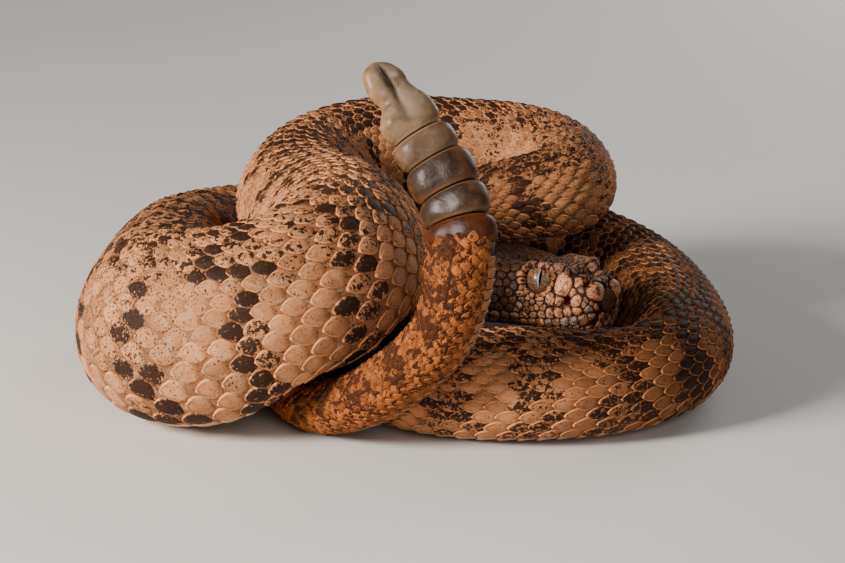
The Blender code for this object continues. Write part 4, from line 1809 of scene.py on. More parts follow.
@dataclass
class CoatMaker:
    """Lays shapes over the skin with Geometry Nodes: one shape on each root, bent to the skin."""

    form: SkinForm
    carrier: Piece
    floor: float = 0.02
    patch: float = 0.0015
    stretch: float = 0.45
    squeeze: float = 0.55

    def __post_init__(self) -> None:
        """Makes the node trees once, for all the coat's pieces."""
        self.trees = {repeated: CoatTree(repeated) for repeated in (True, False)}

    def lay(self, name: str, roots: Roots, shape: Piece, material: Material, keel: float) -> Piece:
        """Lays one coat piece.

        Args:
            name: The piece's name.
            roots: Where its shapes are rooted.
            shape: The shape to repeat.
            material: Its material.
            keel: Height of the keels, in millimetres.

        Returns:
            The piece, as a plain mesh.
        """
        count = len(roots.place)
        points = mesh_object(f"{name}_roots", np.zeros((count, 3)), [])
        row_size, _ = self.form.sizes(roots.place, roots.angle)
        stretch = row_size ** np.where(row_size > 1, self.stretch, self.squeeze)
        size = np.stack([roots.length / 2 * stretch, roots.width / 2, roots.height], axis=1)
        store(points, size=size, turn=roots.turn, ridge=roots.ridge, **roots.colours)
        self.root(points, roots.place, roots.angle)
        places = (float(roots.place.min()), float(roots.place.max()))
        return self.bend(name, points, places, shape, material, keel)

    def root(self, piece: Piece, place: Array, angle: Array) -> None:
        """Stores where each point is rooted, and the skin's measure there.

        Args:
            piece: The mesh whose points are rooted.
            place: Places along the skin.
            angle: Turns round the body.
        """
        zero = np.zeros(len(place))
        row_size, angle_size = self.form.sizes(place, angle)
        metric = np.stack([1 / row_size, 1 / angle_size, zero], axis=1)
        store(piece, root=np.stack([place, angle, zero], axis=1), metric=metric)

    def bend(
        self,
        name: str,
        source: Piece,
        places: tuple[float, float],
        shape: Piece | None,
        material: Material,
        keel: float,
    ) -> Piece:
        """Bends the shapes of one coat piece to the skin.

        Args:
            name: The piece's name.
            source: Its roots, or its plates drawn flat, each round its own root.
            places: The first and the last root along the skin.
            shape: The shape to repeat, or none for plates.
            material: Its material.
            keel: Height of the keels, in millimetres.

        Returns:
            The piece, as a plain mesh.
        """
        tree = self.trees[shape is not None]
        modifier = source.modifiers.new("lay scales", "NODES")
        modifier.node_group = tree.tree
        given = {
            "Carrier": self.carrier,
            "Whole length": float(self.form.rows[-1]),
            "First place": places[0] - 1.0,
            "Last place": places[1] + 1.0,
            "Floor": self.floor * MM,
            "Patch": self.patch,
            "Keel": keel,
            "Finish": material,
        }
        if shape is not None:
            given["Shape"] = shape
        for key, value in given.items():
            modifier[tree.sockets[key]] = value
        graph = bpy.context.evaluated_depsgraph_get()
        mesh = bpy.data.meshes.new_from_object(source.evaluated_get(graph))
        bpy.data.objects.remove(source)
        for helper in ("size", "root", "metric", "turn", "ridge", "keel", "across"):
            if helper in mesh.attributes:
                mesh.attributes.remove(mesh.attributes[helper])
        mesh.name = name
        mesh.shade_smooth()
        piece = bpy.data.objects.new(name, mesh)
        bpy.context.scene.collection.objects.link(piece)
        return piece


@dataclass
class TrunkScales:
    """The rows of scales along the back and sides, and the plates across the belly."""

    form: SkinForm
    markings: Markings
    maker: CoatMaker
    templates: Templates
    row_span: float = math.radians(141)
    start: float = 20.4
    pitch_places: tuple[float, ...] = (20, 32, 60, 95, 130, 165, 230, 315, 372, 392, 410, 433)
    pitches: tuple[float, ...] = (
        1.15, 1.35, 1.65, 1.85, 1.85, 1.95, 2.15, 2.1, 1.75, 1.35, 1.12, 1.06
    )
    row_changes: tuple[tuple[float, float, int], ...] = ((0, 337, 27), (337, 376, 23), (376, 440, 20))
    overlap: float = 1.50
    interlock: float = 1.36
    scatter: float = 0.03
    keel: float = 0.13
    tail_twist: float = math.radians(28)
    belly_start: float = 25.0
    belly_overlap: float = math.radians(7)
    seed: int = 7

    def build(self) -> list[Piece]:
        """Makes the scales, one piece for each length of the body, and the belly plates.

        Returns:
            The coat's pieces.
        """
        roots = self.roots()
        marks = self.form.line.marks
        shape = self.templates.scale
        material = SkinFinish("trunk_scales", Surface.SCALES).build()
        along = np.interp(roots.place, self.form.rows, self.form.along)
        pieces = []
        low = 0.0
        for name, last, slot in LENGTHS:
            high = marks[last] if last else math.inf
            part = roots.keep((along >= low) & (along < high))
            piece = self.maker.lay(name, part, shape, material, self.keel)
            finish_piece(piece, slot)
            pieces.append(piece)
            low = high
        pieces.append(self.belly())
        return pieces

    def count_scales(self) -> tuple[Array, Array]:
        """Counts the scales of one row along the body.

        Returns:
            Fine distances from the snout, and how many scales lie before each.
        """
        fine = np.linspace(0, self.form.line.marks["tail end"] + 3, 6000)
        spacing = np.interp(fine, self.pitch_places, self.pitches)
        return fine, np.cumsum(1 / spacing) * (fine[1] - fine[0])

    def roots(self) -> Roots:
        """Where each scale is rooted, with its size and its colours.

        Returns:
            The roots of all the scales.
        """
        fine, counted = self.count_scales()
        end = self.form.line.marks["tail end"] - 0.1
        laid = []
        for low, high, rows in self.row_changes:
            middle = (rows - 1) / 2
            from_middle = np.abs(np.arange(rows) - middle) / middle
            weights = 0.92 + 0.6 * from_middle**4
            edges = np.concatenate([[0], np.cumsum(weights)]) / weights.sum()
            angles = (edges - 0.5) * 2 * self.row_span
            for row in range(rows):
                number = np.arange(1, counted[-1]) + 0.5 * (row % 2)
                along = np.interp(number, counted, fine)
                fringe = 1.0 * math.cos(angles[row] + self.tail_twist - math.radians(100))
                along = along[(along >= max(low, self.start)) & (along < min(high, end + fringe))]
                both = angles[row : row + 2]
                steady = (both.mean(), np.diff(both)[0], from_middle[row])
                laid.append([along, *(np.full(len(along), number) for number in steady)])
        along, angle, spread, lateral = np.concatenate(laid, axis=1)
        dice = np.random.default_rng(self.seed)
        pitch = np.interp(along, self.pitch_places, self.pitches)
        along = along + dice.normal(0, self.scatter, len(along)) * pitch
        angle = angle + dice.normal(0, self.scatter, len(along)) * spread
        chance = dice.random(len(along))
        radius = np.interp(along, self.form.line.along, self.form.line.rows[:, 3])
        width = spread * radius * self.interlock * (1 - 0.06 * lateral)
        length = pitch * self.overlap * (1 + 0.06 * (chance - 0.5))
        tilt = np.degrees(np.abs(angle))
        smooth = self.markings.smoothness(along, angle)
        brown = self.markings.brownness(along, angle)
        low = ramp(lateral, 0.62, 0.25)
        dots = 0.30 + 0.45 * (1 - ramp(tilt, 30, 40)) + 0.7 * smooth
        dots = dots + 0.35 * (1 - ramp(along, 90, 25))
        return Roots(
            place=self.form.place_of(along),
            angle=angle + self.twist(along),
            length=length,
            width=width * (1 + 0.08 * (chance - 0.5)),
            height=(0.13 + 0.115 * np.minimum(pitch, 2.2)) * (1 - 0.75 * smooth),
            turn=dice.normal(0, 0.035, len(along)),
            ridge=(1 - low) * (1 - 0.7 * smooth),
            colours={
                "mark": self.markings.darkness(along, angle, chance),
                "brown": brown,
                "warm": self.markings.warmth(along),
                # chance: a random tone for each scale, plus the painted light and shade along the body
                "chance": dice.random(len(along)) + self.markings.paleness(along),
                "dots": np.minimum(dots, 1.0),
                "blots": self.markings.blots(along, angle),
                # bright sets how strong the rim line, partly painted highlight, and the painted shade
                # inside the rim and at the root are
                "bright": 0.6 + 0.45 * low - 0.5 * smooth + 0.3 * brown * (1 - low),
            },
        )

    def twist(self, along: Array) -> Array:
        """How far the scales' rows turn about the tail, in radians."""
        return self.tail_twist * ramp(along, TAIL_START, 20)

    def belly(self) -> Piece:
        """The plates across the belly, each as wide as the room between the lowest scales.

        Returns:
            The plates, as one piece.
        """
        fine, counted = self.count_scales()
        along = np.interp(np.arange(1, counted[-1]), counted, fine)
        last = self.form.line.marks["tail end"] - 1.5
        along = along[(along > self.belly_start) & (along < last)]
        pitch = np.interp(along, self.pitch_places, self.pitches)
        count = len(along)
        spread = 2 * (math.pi - self.row_span) + self.belly_overlap
        place = self.form.place_of(along)
        _, per_radian = self.form.sizes(place, np.full(count, math.pi))
        steady = np.full(count, 0.6)
        roots = Roots(
            place=place,
            angle=math.pi + self.twist(along),
            length=pitch * 1.25,
            width=spread * per_radian,
            height=np.full(count, 0.20),
            turn=np.zeros(count),
            ridge=np.zeros(count),
            colours={
                "mark": 0.3 * self.markings.darkness(along, np.full(count, 2.4), steady),
                "brown": self.markings.brownness(along, np.full(count, math.pi)) * 0.6,
                "warm": self.markings.warmth(along),
                "chance": np.random.default_rng(3).random(count),
                "dots": np.full(count, 0.4),
                "bright": steady,
            },
        )
        material = SkinFinish("belly_plates", Surface.BELLY, roughness=0.38).build()
        shape = self.templates.belly_plate
        piece = self.maker.lay("belly_plates", roots, shape, material, keel=0.0)
        finish_piece(piece, "skin_tan")
        return piece


class Plate(NamedTuple):
    """One plate of the head: its root, size, turn, height, tone and distance from the snout."""

    place: float
    angle: float
    length: float
    width: float
    turn: float
    height: float
    tone: float
    along: float
    hue: float = 0.32


# Named plates of each side: distance, degrees, length, width, turn in degrees, height and tone.
# What has no height is an opening, which only keeps the plates off.
# The low tones of the brow, internasal and canthal plates are painted shade of the crown.
NAMED_PLATES = {
    "front of brow": (5.5, 36, 1.7, 1.7, -8, 0.20, 0.32),
    "brow": (7.2, 39, 2.1, 2.0, -8, 0.22, 0.40),
    "back of brow": (9.1, 43, 1.9, 1.8, -8, 0.20, 0.25),
    "preocular": (4.30, 56, 2.7, 2.4, 0, 0.22, 1.00),
    "lower preocular": (5.6, 79, 1.8, 0.9, 6, 0.18, 0.90),
    "pit": (3.50, 79, 1.25, 1.25, 0, 0.0, 0.0),
    "behind pit": (4.50, 80, 0.8, 0.9, 0, 0.20, 0.80),
    "front of pit": (2.10, 75, 1.1, 1.4, 0, 0.22, 0.95),
    "above pit": (2.85, 60, 0.9, 0.9, 0, 0.20, 0.85),
    "postnasal": (2.60, 42, 1.0, 1.6, 0, 0.20, 0.80),
    "nostril": (1.70, 38, 0.55, 1.2, -14, 0.0, 0.0),
    "nasal": (0.50, 37, 2.7, 2.8, 0, 0.22, 0.95),
    "internasal": (1.35, 10, 1.3, 1.0, 0, 0.18, 0.30),
    "canthal": (2.75, 24, 1.3, 1.1, 18, 0.20, 0.40),
    "rear canthal": (4.10, 26, 1.3, 1.1, 10, 0.20, 0.40),
    "below eye": (7.0, 84, 2.0, 0.8, 0, 0.18, 0.80),
    "behind and below eye": (9.2, 82, 1.5, 0.8, 12, 0.18, 0.70),
}
# The plates on the middle line, by their place along the skin from the middle of the snout
MIDDLE_PLATES = {
    # The rostral's low tone is painted shade on the front of the snout.
    "rostral": (1.15, 0, 3.1, 2.9, 0, 0.20, 0.08),
    "mental": (2.6, 180, 1.4, 1.6, 0, 0.20, 0.30),
}


@dataclass
class PlateTiling:
    """Fits plates together: each reaches as far as its own size and its neighbours let it."""

    form: SkinForm
    maker: CoatMaker
    sides: int = 12
    gap: float = 0.026
    corner_sharpness: float = 13.0
    own_reach: float = 2.5
    neighbour: float = 4.5
    least_facing: float = 0.12
    nearest: int = 6
    rings: tuple[tuple[float, float], ...] = ((1.0, -0.7), (1.0, 0.25), (0.90, 0.74), (0.55, 0.94))

    def outlines(self, plates: Sequence[Plate]) -> Array:
        """How far each plate reaches in each direction.

        Args:
            plates: All the plates.

        Returns:
            For each plate and side, its corner in millimetres along and around from its root.
        """
        place, angle, length, width, turn, *_ = np.array(plates).T
        spots = self.form.sample(self.form.points, place, angle)
        out = unit(self.form.sample(self.form.outward, place, angle))
        ahead = self.form.sample(self.form.points, place + 0.25, angle) - spots
        ahead = unit(ahead - np.sum(ahead * out, axis=1)[:, None] * out)
        around = np.cross(out, ahead)
        beside = self.form.sample(self.form.points, place + 0.3, angle + 0.05)
        beside -= self.form.sample(self.form.points, place + 0.3, angle)
        around *= np.sign(np.sum(around * beside, axis=1))[:, None]
        away = spots[None] - spots[:, None]
        distance = np.linalg.norm(away, axis=2)
        bearing = np.arctan2(
            np.sum(away * around[:, None], axis=2), np.sum(away * ahead[:, None], axis=2)
        )
        half = np.stack([length / 2, width / 2], axis=1)

        def reach(direction: Array) -> Array:
            """Each plate's own reach in a direction.

            Args:
                direction: One direction for each plate, as a turn.

            Returns:
                One distance for each plate.
            """
            local = direction - turn[:, None]
            along_part = np.cos(local) / half[:, :1]
            return 1 / np.sqrt(along_part**2 + (np.sin(local) / half[:, 1:]) ** 2)

        mine = reach(bearing)
        split = distance * mine / (mine + mine.T)
        split = np.where((distance > 1e-6) & (distance < self.neighbour), split, FAR)
        rays = TURN * np.arange(self.sides) / self.sides
        own = reach(np.broadcast_to(rays, (len(plates), self.sides))) * self.own_reach
        reached = np.empty_like(own)
        for k, ray in enumerate(rays):
            facing = np.cos(ray - bearing)
            ahead_of = np.maximum(facing, self.least_facing)
            limits = np.where(facing > self.least_facing, split / ahead_of, FAR)
            limits = np.sort(limits, axis=1)[:, : self.nearest]
            limits = np.concatenate([limits, own[:, k : k + 1]], axis=1)
            power = -self.corner_sharpness
            reached[:, k] = np.sum(limits**power, axis=1) ** (1 / power)
        reached = np.maximum(reached - self.gap, 0.08)
        return reached[..., None] * np.stack([np.cos(rays), np.sin(rays)], axis=1)

    def build(self, name: str, plates: Sequence[Plate], corners: Array) -> Piece:
        """Draws plates flat, each round its own root.

        Args:
            name: The helper's name.
            plates: The plates.
            corners: Their corners.

        Returns:
            The helper, a mesh of closed plates.
        """
        sides, rings = self.sides, len(self.rings)
        each = sides * rings + 1
        points, edges = [], []
        for plate, outline in zip(plates, corners):
            for share, rise in self.rings:
                flat = outline * share
                points.append(np.column_stack([flat, np.full(sides, rise * plate.height)]))
                edges.append(np.full(sides, share if rise > 0 else 1.0))
            points.append(np.array([[0.0, 0.0, plate.height]]))
            edges.append(np.zeros(1))
        high, top = (rings - 1) * sides, each - 1
        one = grid_faces(rings, sides)
        one += [(top, high + j, high + (j + 1) % sides) for j in range(sides)]
        one.append(tuple(reversed(range(sides))))
        faces = [[n * each + k for k in face] for n in range(len(plates)) for face in one]
        flat_points = np.concatenate(points)
        place, angle, _, _, _, _, tone, _, hue = np.repeat(plates, each, axis=0).T
        row_size, angle_size = self.form.sizes(place, angle)
        ahead = place + flat_points[:, 0] / row_size
        beside = flat_points[:, 1] * np.where(place < 0.4, 1 / row_size, place / angle_size)
        near_tip = 1 - ramp(place, 2.0, 1.5)
        lie = flat_points.copy()
        lie[:, 0] += ((np.hypot(ahead, beside) - place) * row_size - lie[:, 0]) * near_tip
        lie[:, 1] += (np.arctan2(beside, ahead) * angle_size - lie[:, 1]) * near_tip
        piece = mesh_object(name, lie / MM, faces)
        along, around, _ = flat_points.T
        edge = np.concatenate(edges)
        store(piece, edge=edge, tip=along, across=around, tone=tone, chance=hue)
        self.maker.root(piece, place, angle)
        return piece


@dataclass
class HeadScales:
    """The plates and granules of the head, and the keeled scales behind them."""

    form: SkinForm
    maker: CoatMaker
    templates: Templates
    lip_plates: int = 12
    lip_reach: tuple[float, float] = (0.75, 13.6)
    ring_plates: int = 17
    ring_radius: float = 2.34
    brow_turns: tuple[float, float] = (0.13, 0.40)
    granule_end: float = 12.5
    scale_end: float = 21.6
    seed: int = 11

    def build(self) -> list[Piece]:
        """Makes the head's two coat pieces.

        Returns:
            The plates with the granules, and the scales of the back of the head.
        """
        plates = self.named() + self.lips() + self.eye_rings()
        plates += self.fill(plates)
        tiling = PlateTiling(self.form, self.maker)
        corners = tiling.outlines(plates)
        end = self.granule_end
        front = [i for i, plate in enumerate(plates) if plate.along < end and plate.height > 0]
        chosen = [plates[i] for i in front]
        source = tiling.build("head_plates_flat", chosen, corners[front])
        material = HeadFinish("head_plates", bare=False).build()
        places = (0.0, max(plate.place for plate in chosen))
        granules = self.maker.bend("head_plates", source, places, None, material, 0.0)
        back = [plate for plate in plates if plate.along >= self.granule_end]
        shape = self.templates.scale
        scales = self.maker.lay("head_scales", self.as_roots(back), shape, material, keel=0.1)
        for piece in (granules, scales):
            finish_piece(piece, "skin_head")
        return [granules, scales]

    def plate(self, along: float, *sizes: float) -> Plate:
        """A plate by its distance from the snout along the line, and its next six numbers."""
        return Plate(float(self.form.place_of(along)), *sizes, along)

    def named(self) -> list[Plate]:
        """The named plates on both sides and on the middle line.

        Returns:
            The plates of the left side, of the right and of the middle.
        """
        plates = []
        for hand in (1, -1):
            for along, degrees, length, width, turn, *finish in NAMED_PLATES.values():
                angle, lean = math.radians(degrees) * hand, math.radians(turn) * -hand
                plates.append(self.plate(along, angle, length, width, lean, *finish))
        for place, degrees, *sizes in MIDDLE_PLATES.values():
            along = float(np.interp(place, self.form.rows, self.form.along))
            plates.append(Plate(place, math.radians(degrees), *sizes, along))
        return plates

    def lips(self) -> list[Plate]:
        """The plates along the upper and the lower lip, growing towards the mouth's corner.

        Returns:
            The plates of both lips on both sides.
        """
        plates = []
        dice = np.random.default_rng(self.seed)
        spread = np.linspace(*self.lip_reach, self.lip_plates)
        for hand in (1, -1):
            for upper in (True, False):
                for along in spread:
                    shifted = float(along) + (0.0 if upper else 0.5)
                    rise = 0.56 if upper else -0.54
                    angle = float(self.form.mouth_angle(shifted, rise)) * hand
                    tone = dice.uniform(0.45, 1.0) if upper else dice.uniform(0.15, 0.9)
                    size = (1.15, 0.95) if upper else (1.25, 1.05)
                    lip = self.plate(shifted, angle, *size, 0.0, 0.22, tone)
                    hue = dice.uniform(0.0, 0.85) if upper else dice.uniform(0.3, 1.0)
                    plates.append(lip._replace(hue=hue))
        return plates

    def eye_rings(self) -> list[Plate]:
        """The small scales round each eye, but for the brow's own plate.

        Returns:
            The plates round the left eye and then the right.
        """
        plates = []
        grid = self.form.along < 14
        points = self.form.points[grid]
        for hand in (1, -1):
            centre, axis = self.form.eye_socket(hand)
            up = self.form.eye_centre(hand)[3]
            right = unit(np.cross(up, axis))
            over = np.cross(axis, right)
            for i in range(self.ring_plates):
                turn = TURN * (i + 0.5) / self.ring_plates
                if self.brow_turns[0] < turn / TURN < self.brow_turns[1]:
                    continue
                beside = math.cos(turn) * right + math.sin(turn) * over
                aim = centre + axis * 1.6 + self.ring_radius * beside
                gap = np.linalg.norm(points - aim, axis=2)
                row, column = np.unravel_index(int(gap.argmin()), gap.shape)
                place, angle = float(self.form.rows[row]), float(self.form.angles[column])
                along = float(self.form.along[row])
                tone = 0.75 - 0.3 * (i % 3 == 1)
                plates.append(Plate(place, angle, 0.72, 0.66, 0.0, 0.18, tone, along, 0.5))
        return plates

    def spacing(self, distance: Array, degrees: Array) -> Array:
        """How far apart the small scales are.

        Args:
            distance: Distances from the snout.
            degrees: Turns round the head, 0 on its crown.

        Returns:
            One spacing for each place.
        """
        places, gaps = (0, 3, 8, 12, 16, 20, 22), (0.52, 0.58, 0.74, 0.95, 1.1, 1.25, 1.3)
        back = np.interp(distance, places, gaps)
        crown = 1 - 0.12 * (1 - ramp(degrees, 28, 12))
        return back * crown * (1 + 0.45 * ramp(degrees, 126, 15))

    def fill(self, plates: list[Plate]) -> list[Plate]:
        """Fills the head between the plates with small scales, each as far off as its size asks.

        Args:
            plates: The plates that are there.

        Returns:
            The small scales.
        """
        form = self.form
        grid = (form.along < self.scale_end) & (form.rows > 0.8)
        points = form.points[grid].reshape(-1, 3)
        distance = np.repeat(form.along[grid], form.columns)
        place = np.repeat(form.rows[grid], form.columns)
        angle = np.tile(form.angles, int(grid.sum()))
        need = self.spacing(distance, np.degrees(np.abs(angle)))
        free = np.full(len(points), np.inf)
        for plate in plates:
            free = np.minimum(free, self.oval_gap(points, plate) / need + 0.5)
        free = np.where(form.eye_gap[grid].ravel() < 2.10, -1, free)
        lip = np.abs(np.abs(angle) - form.mouth_angle(distance)) * 4.3
        free = np.where((lip < 0.45) & (distance < form.mouth_length), -1, free)
        dice = np.random.default_rng(self.seed)
        free = free + dice.uniform(0, 0.02, len(free))
        made: list[Plate] = []
        while free.max() > 0.80:
            i = int(free.argmax())
            gap = np.linalg.norm(points - points[i], axis=1)
            free = np.minimum(free, gap / need)
            size = need[i] * dice.uniform(0.85, 1.2)
            # A darker tone on the crown, and one that grows behind the eye, are painted shade.
            tone = dice.uniform(0.1, 0.9) - 0.65 * (abs(angle[i]) < 0.80)
            tone -= 0.6 * float(ramp(distance[i], 8.8, 2.4))
            spot = (float(place[i]), float(angle[i]))
            shape = (size * 1.12, size, float(dice.normal(0, 0.12)), 0.15 + 0.04 * need[i])
            made.append(Plate(*spot, *shape, max(tone, 0.05), float(distance[i]), dice.random()))
        return made

    def oval_gap(self, points: Array, plate: Plate) -> Array:
        """Distance from points to the outline of a plate, roughly.

        Args:
            points: Places on the skin, one per row.
            plate: The plate to keep clear of.

        Returns:
            One distance for each point, below 0 inside the plate.
        """
        place, angle = np.array([plate.place]), np.array([plate.angle])
        centre = self.form.sample(self.form.points, place, angle)[0]
        ahead = unit(self.form.sample(self.form.points, place + 0.3, angle)[0] - centre)
        out = self.form.sample(self.form.outward, place, angle)[0]
        around = np.cross(out, ahead)
        turned = ahead * math.cos(plate.turn) + around * math.sin(plate.turn)
        other = around * math.cos(plate.turn) - ahead * math.sin(plate.turn)
        away = points - centre
        share = np.sqrt(
            (away @ turned / (plate.length / 2)) ** 2
            + (away @ other / (plate.width / 2)) ** 2
            + (away @ out / 1.5) ** 2
        )
        return (share - 1) * min(plate.length, plate.width) / 2

    def as_roots(self, plates: list[Plate]) -> Roots:
        """The roots of the keeled scales behind the plates.

        Args:
            plates: The plates and small scales of the head.

        Returns:
            One root for each keeled scale.
        """
        place, angle, length, width, turn, height, tone, *_ = np.array(plates).T
        dice = np.random.default_rng(self.seed + 1)
        # The keeled scales at the back of the head take a darker tone: painted shade.
        colours = {"tone": tone * 0.6, "chance": dice.random(len(plates)) * 0.7}
        ridge = np.ones(len(plates))
        return Roots(place, angle, length * 1.45, width * 1.15, height, turn, ridge, colours)


@dataclass
class Eyes:
    """The two eyes, the outer part of a ball each, set in the sockets under the brows."""

    form: SkinForm
    segments: int = 64
    rings: int = 24
    opening: float = math.radians(58)

    def build(self) -> list[Piece]:
        """Makes both eyes.

        Returns:
            The left eye and the right eye.
        """
        material = EyeFinish("eye_gloss").build()
        pieces = []
        for name, node, hand in (("left_eye", "eye_left", 1), ("right_eye", "eye_right", -1)):
            centre, ahead, _, up = self.form.eye_centre(hand)
            gaze = self.form.gaze(hand)
            right = unit(np.cross(up + ahead * 0.02, gaze))
            over = np.cross(gaze, right)
            axis = self.form.eye_socket(hand)[1]
            first = unit(np.cross(up, axis))
            second = np.cross(axis, first)
            rows, turns = [], TURN * np.arange(self.segments) / self.segments
            for tilt in np.linspace(0, self.opening, self.rings + 1)[1:]:
                ring = np.cos(turns)[:, None] * first + np.sin(turns)[:, None] * second
                rows.append(axis * math.cos(tilt) + ring * math.sin(tilt))
            back = axis * math.cos(self.opening)
            shares = np.concatenate([np.concatenate(rows), [axis, back]])
            faces = capped_faces(len(rows), self.segments)
            piece = mesh_object(name, centre + shares * self.form.eye_radius, faces, material)
            close_outwards(piece)
            store(piece, across=shares @ right, upright=shares @ over)
            finish_piece(piece, "eye", node)
            pieces.append(piece)
        return pieces


class Lobe(NamedTuple):
    """A soft rise on the horn, or a furrow: its share up the segment, its side and its size."""

    up: float
    degrees: float
    tall: float
    broad: float
    height: float


@dataclass(frozen=True)
class HornShape:
    """One segment's shape: shares of its height and breadth, with its lobes and furrows."""

    outline: tuple[tuple[float, float], ...]
    lobes: tuple[Lobe, ...]

    def lift(self, shares: Array, turns: Array) -> Array:
        """How much further out the horn reaches, in shares of its breadth.

        Args:
            shares: Heights up the horn, from 0 to 1.
            turns: Turns round the horn.

        Returns:
            One share for each height and turn.
        """
        total = np.zeros((len(shares), len(turns)))
        for lobe in self.lobes:
            for face in (1, -1):
                apart = np.degrees(np.angle(np.exp(1j * (turns - math.radians(lobe.degrees * face)))))
                near = bell(apart, lobe.broad)[None]
                total += lobe.height * near * bell(shares - lobe.up, lobe.tall)[:, None]
        return total


RING_SHAPE = HornShape(
    outline=((0.0, 0.84), (0.12, 0.95), (0.32, 1.01), (0.6, 1.01), (0.85, 0.95), (1.0, 0.84)),
    lobes=(
        Lobe(0.5, 92, 0.8, 18, -0.07),
        Lobe(0.45, 55, 0.35, 19, 0.05),
        Lobe(0.5, 135, 0.35, 24, 0.06),
    ),
)
BUTTON_SHAPE = HornShape(
    outline=(
        (0.0, 0.80),
        (0.07, 0.95),
        (0.18, 1.0),
        (0.32, 0.92),
        (0.45, 0.79),
        (0.56, 0.74),
        (0.72, 0.72),
        (0.84, 0.64),
        (0.93, 0.50),
        (1.0, 0.22),
    ),
    lobes=(
        Lobe(0.72, 96, 0.30, 17, -0.46),
        Lobe(0.34, 88, 0.20, 14, -0.20),
        Lobe(0.47, 28, 0.10, 45, -0.17),
        Lobe(0.23, 52, 0.13, 26, 0.16),
        Lobe(0.34, 138, 0.15, 28, 0.15),
        Lobe(0.72, 140, 0.22, 24, 0.16),
        Lobe(0.60, 190, 0.07, 40, -0.06),
    ),
)


BASE_HORN = HornFinish(
    "rattle_base_horn",
    middle=(0.058, 0.014, 0.004),
    ochre=(0.110, 0.027, 0.006),
    edge=(0.10, 0.036, 0.013),
    smoke=(0.020, 0.005, 0.002),
    haze=(0.070, 0.030, 0.014),
    gloss=0.10,
)
RING_HORN = HornFinish("rattle_horn")
CLEAR_HORN = HornFinish(
    "clear_ring_horn",
    middle=(0.095, 0.057, 0.030),
    ochre=(0.185, 0.092, 0.036),
    edge=(0.24, 0.15, 0.080),
    smoke=(0.040, 0.020, 0.009),
    haze=(0.150, 0.105, 0.065),
)
BUTTON_HORN = HornFinish(
    "button_horn",
    middle=(0.195, 0.134, 0.083),
    ochre=(0.27, 0.135, 0.050),
    edge=(0.38, 0.26, 0.15),
    smoke=(0.085, 0.042, 0.019),
    haze=(0.30, 0.24, 0.175),
)


class Segment(NamedTuple):
    """A segment of the rattle: its names, its height, half its breadth, its shape and finish."""

    name: str
    node: str
    height: float
    breadth: float
    shape: HornShape
    finish: HornFinish


@dataclass
class Rattle:
    """The rattle: a base segment, three loose rings and the first year's button."""

    line: SnakeLine
    seam: float = 0.14
    lip_depth: float = 0.25
    lip_width: float = 0.30
    sides: int = 128
    rows: int = 34
    segments: tuple[Segment, ...] = (
        Segment("base_horn", "rattle_base", BASE_HEIGHT, BASE_BREADTH, RING_SHAPE, BASE_HORN),
        Segment("loose_ring_1", "rattle_ring_1", 3.6, 4.15, RING_SHAPE, RING_HORN),
        Segment("loose_ring_2", "rattle_ring_2", 4.3, 4.05, RING_SHAPE, RING_HORN),
        Segment("loose_ring_3", "rattle_ring_3", 3.5, 3.7, RING_SHAPE, CLEAR_HORN),
        Segment("button", "rattle_button", 10.0, 3.5, BUTTON_SHAPE, BUTTON_HORN),
    )

    def build(self) -> list[Piece]:
        """Makes the five pieces of horn.

        Returns:
            The pieces, from the base up.
        """
        finishes = dict.fromkeys(segment.finish for segment in self.segments)
        materials = {finish: finish.build() for finish in finishes}
        foot = self.line.marks["tail end"]
        pieces = []
        for segment in self.segments:
            piece = self.shape_horn(segment, foot, materials[segment.finish])
            slot = "horn_base" if segment.finish is BASE_HORN else "horn"
            finish_piece(piece, slot, segment.node)
            pieces.append(piece)
            foot += segment.height
        return pieces

    def shape_horn(self, segment: Segment, foot: float, material: Material) -> Piece:
        """One segment of horn: flattened, furrowed along its broad sides and lipped at its ends.

        Args:
            segment: The segment.
            foot: Distance from the snout to its foot.
            material: Its material.

        Returns:
            The segment's piece, closed.
        """
        table = np.array(segment.shape.outline)
        shares = np.concatenate([[0.0], np.linspace(0.012, 0.988, self.rows), [1.0]])
        broad = segment.breadth * natural_spline(table[:, 0], table[:, 1:], shares)[:, 0]
        ends = np.minimum(shares, 1 - shares) * segment.height
        broad = broad - self.lip_depth * np.exp(-ends / self.seam)
        places = foot + self.seam / 2 + shares * (segment.height - self.seam)
        middles, _, _, sides, ups = self.line.at(places)
        turns = TURN * np.arange(self.sides) / self.sides
        lift = 1 + segment.shape.lift(shares, turns) * ramp(ends, 0, 0.8)[:, None]
        up_part = broad[:, None] * np.cos(turns)[None] * lift
        side_part = broad[:, None] * RATTLE_THICKNESS * np.sin(turns)[None] * lift
        points = (
            middles[:, None]
            + ups[:, None] * up_part[..., None]
            + sides[:, None] * side_part[..., None]
        )
        count = len(shares)
        every = np.concatenate([points.reshape(-1, 3), points[[0, -1]].mean(axis=1)])
        piece = mesh_object(segment.name, every, capped_faces(count, self.sides), material)
        close_outwards(piece)
        up = np.concatenate([np.repeat(shares, self.sides), [0, 1]])
        side = np.concatenate([np.tile(np.cos(turns), count), [0, 0]])
        lip = np.concatenate([np.repeat(np.exp(-ends / self.lip_width), self.sides), [1, 1]])
        store(piece, up=up, side=side, lip=lip)
        return piece


class Lamp(NamedTuple):
    """A soft square light: where it stands, its side, its power in watts and its colour."""

    name: str
    spot: tuple[float, float, float]
    size: float
    power: float
    colour: Colour


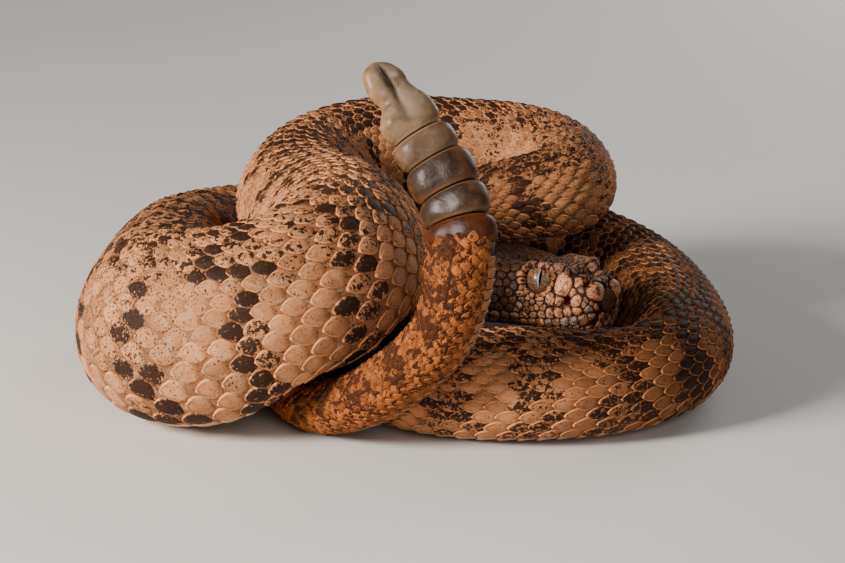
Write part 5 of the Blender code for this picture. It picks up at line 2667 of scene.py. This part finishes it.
@dataclass
class Studio:
    """The pale floor, the soft lights and the camera."""

    lamps: tuple[Lamp, ...] = (
        Lamp("key_light", (-308, -212, 180), 110, 3.5, (1.0, 0.95, 0.88)),
        Lamp("fill_light", (115, -345, 170), 200, 0.34, (0.97, 0.98, 1.0)),
        Lamp("back_light", (200, 300, 150), 200, 0.55, (1.0, 0.98, 0.95)),
    )
    target: tuple[float, float, float] = (1.92, 1.93, 10.9)
    distance: float = 400.0
    elevation: float = math.radians(16)
    lens: float = 136.33
    lit_spot: tuple[float, float, float] = (0.0, -5.0, 12.0)
    floor_size: float = 6.0

    def build(self) -> None:
        """Makes the floor, the lights, the world and the camera."""
        self.floor()
        self.camera()
        for lamp in self.lamps:
            self.light(lamp)
        world = bpy.data.worlds.new("studio")
        world.use_nodes = True
        background = world.node_tree.nodes["Background"]
        background.inputs["Color"].default_value = (0.80, 0.80, 0.80, 1)
        background.inputs["Strength"].default_value = 0.13
        bpy.context.scene.world = world

    def floor(self) -> None:
        """Lays the floor under the snake."""
        half = self.floor_size / 2 / MM
        corners = np.array([(-half, -half, 0), (half, -half, 0), (half, half, 0), (-half, half, 0)])
        piece = mesh_object("floor", corners, [(0, 1, 2, 3)], FloorFinish("pale_floor").build())

    def camera(self) -> None:
        """Sets the camera in front of the snake, a little above it."""
        data = bpy.data.cameras.new("camera")
        data.lens = self.lens
        data.clip_start = 0.01
        piece = bpy.data.objects.new("camera", data)
        back, up = math.cos(self.elevation), math.sin(self.elevation)
        x, y, z = self.target
        spot = (x, y - self.distance * back, z + self.distance * up)
        piece.location = [value * MM for value in spot]
        piece.rotation_euler = (math.pi / 2 - self.elevation, 0, 0)
        bpy.context.scene.collection.objects.link(piece)
        bpy.context.scene.camera = piece

    def light(self, lamp: Lamp) -> None:
        """Sets one light so that it faces the snake.

        Args:
            lamp: The light.
        """
        data = bpy.data.lights.new(lamp.name, "AREA")
        data.size = lamp.size * MM
        data.energy = lamp.power
        data.color = lamp.colour
        piece = bpy.data.objects.new(lamp.name, data)
        piece.location = [value * MM for value in lamp.spot]
        x, y, z = np.array(self.lit_spot) - np.array(lamp.spot)
        tilt = math.atan2(math.hypot(x, y), -z)
        piece.rotation_euler = (tilt, 0, math.atan2(y, x) - math.pi / 2)
        bpy.context.scene.collection.objects.link(piece)


def main() -> None:
    """Builds the snake piece by piece, then the studio round it."""
    logging.basicConfig(level=logging.INFO, format="%(message)s")
    line = SnakeLine()
    form = SkinForm(line)
    markings = Markings()
    skin = Skin(form, markings)
    skin.build()
    carrier = skin.carrier()
    maker = CoatMaker(form, carrier)
    templates = Templates()
    TrunkScales(form, markings, maker, templates).build()
    HeadScales(form, maker, templates).build()
    Eyes(form).build()
    Rattle(line).build()
    templates.clear()
    bpy.data.objects.remove(carrier)
    Studio().build()


if __name__ == "__main__":
    main()
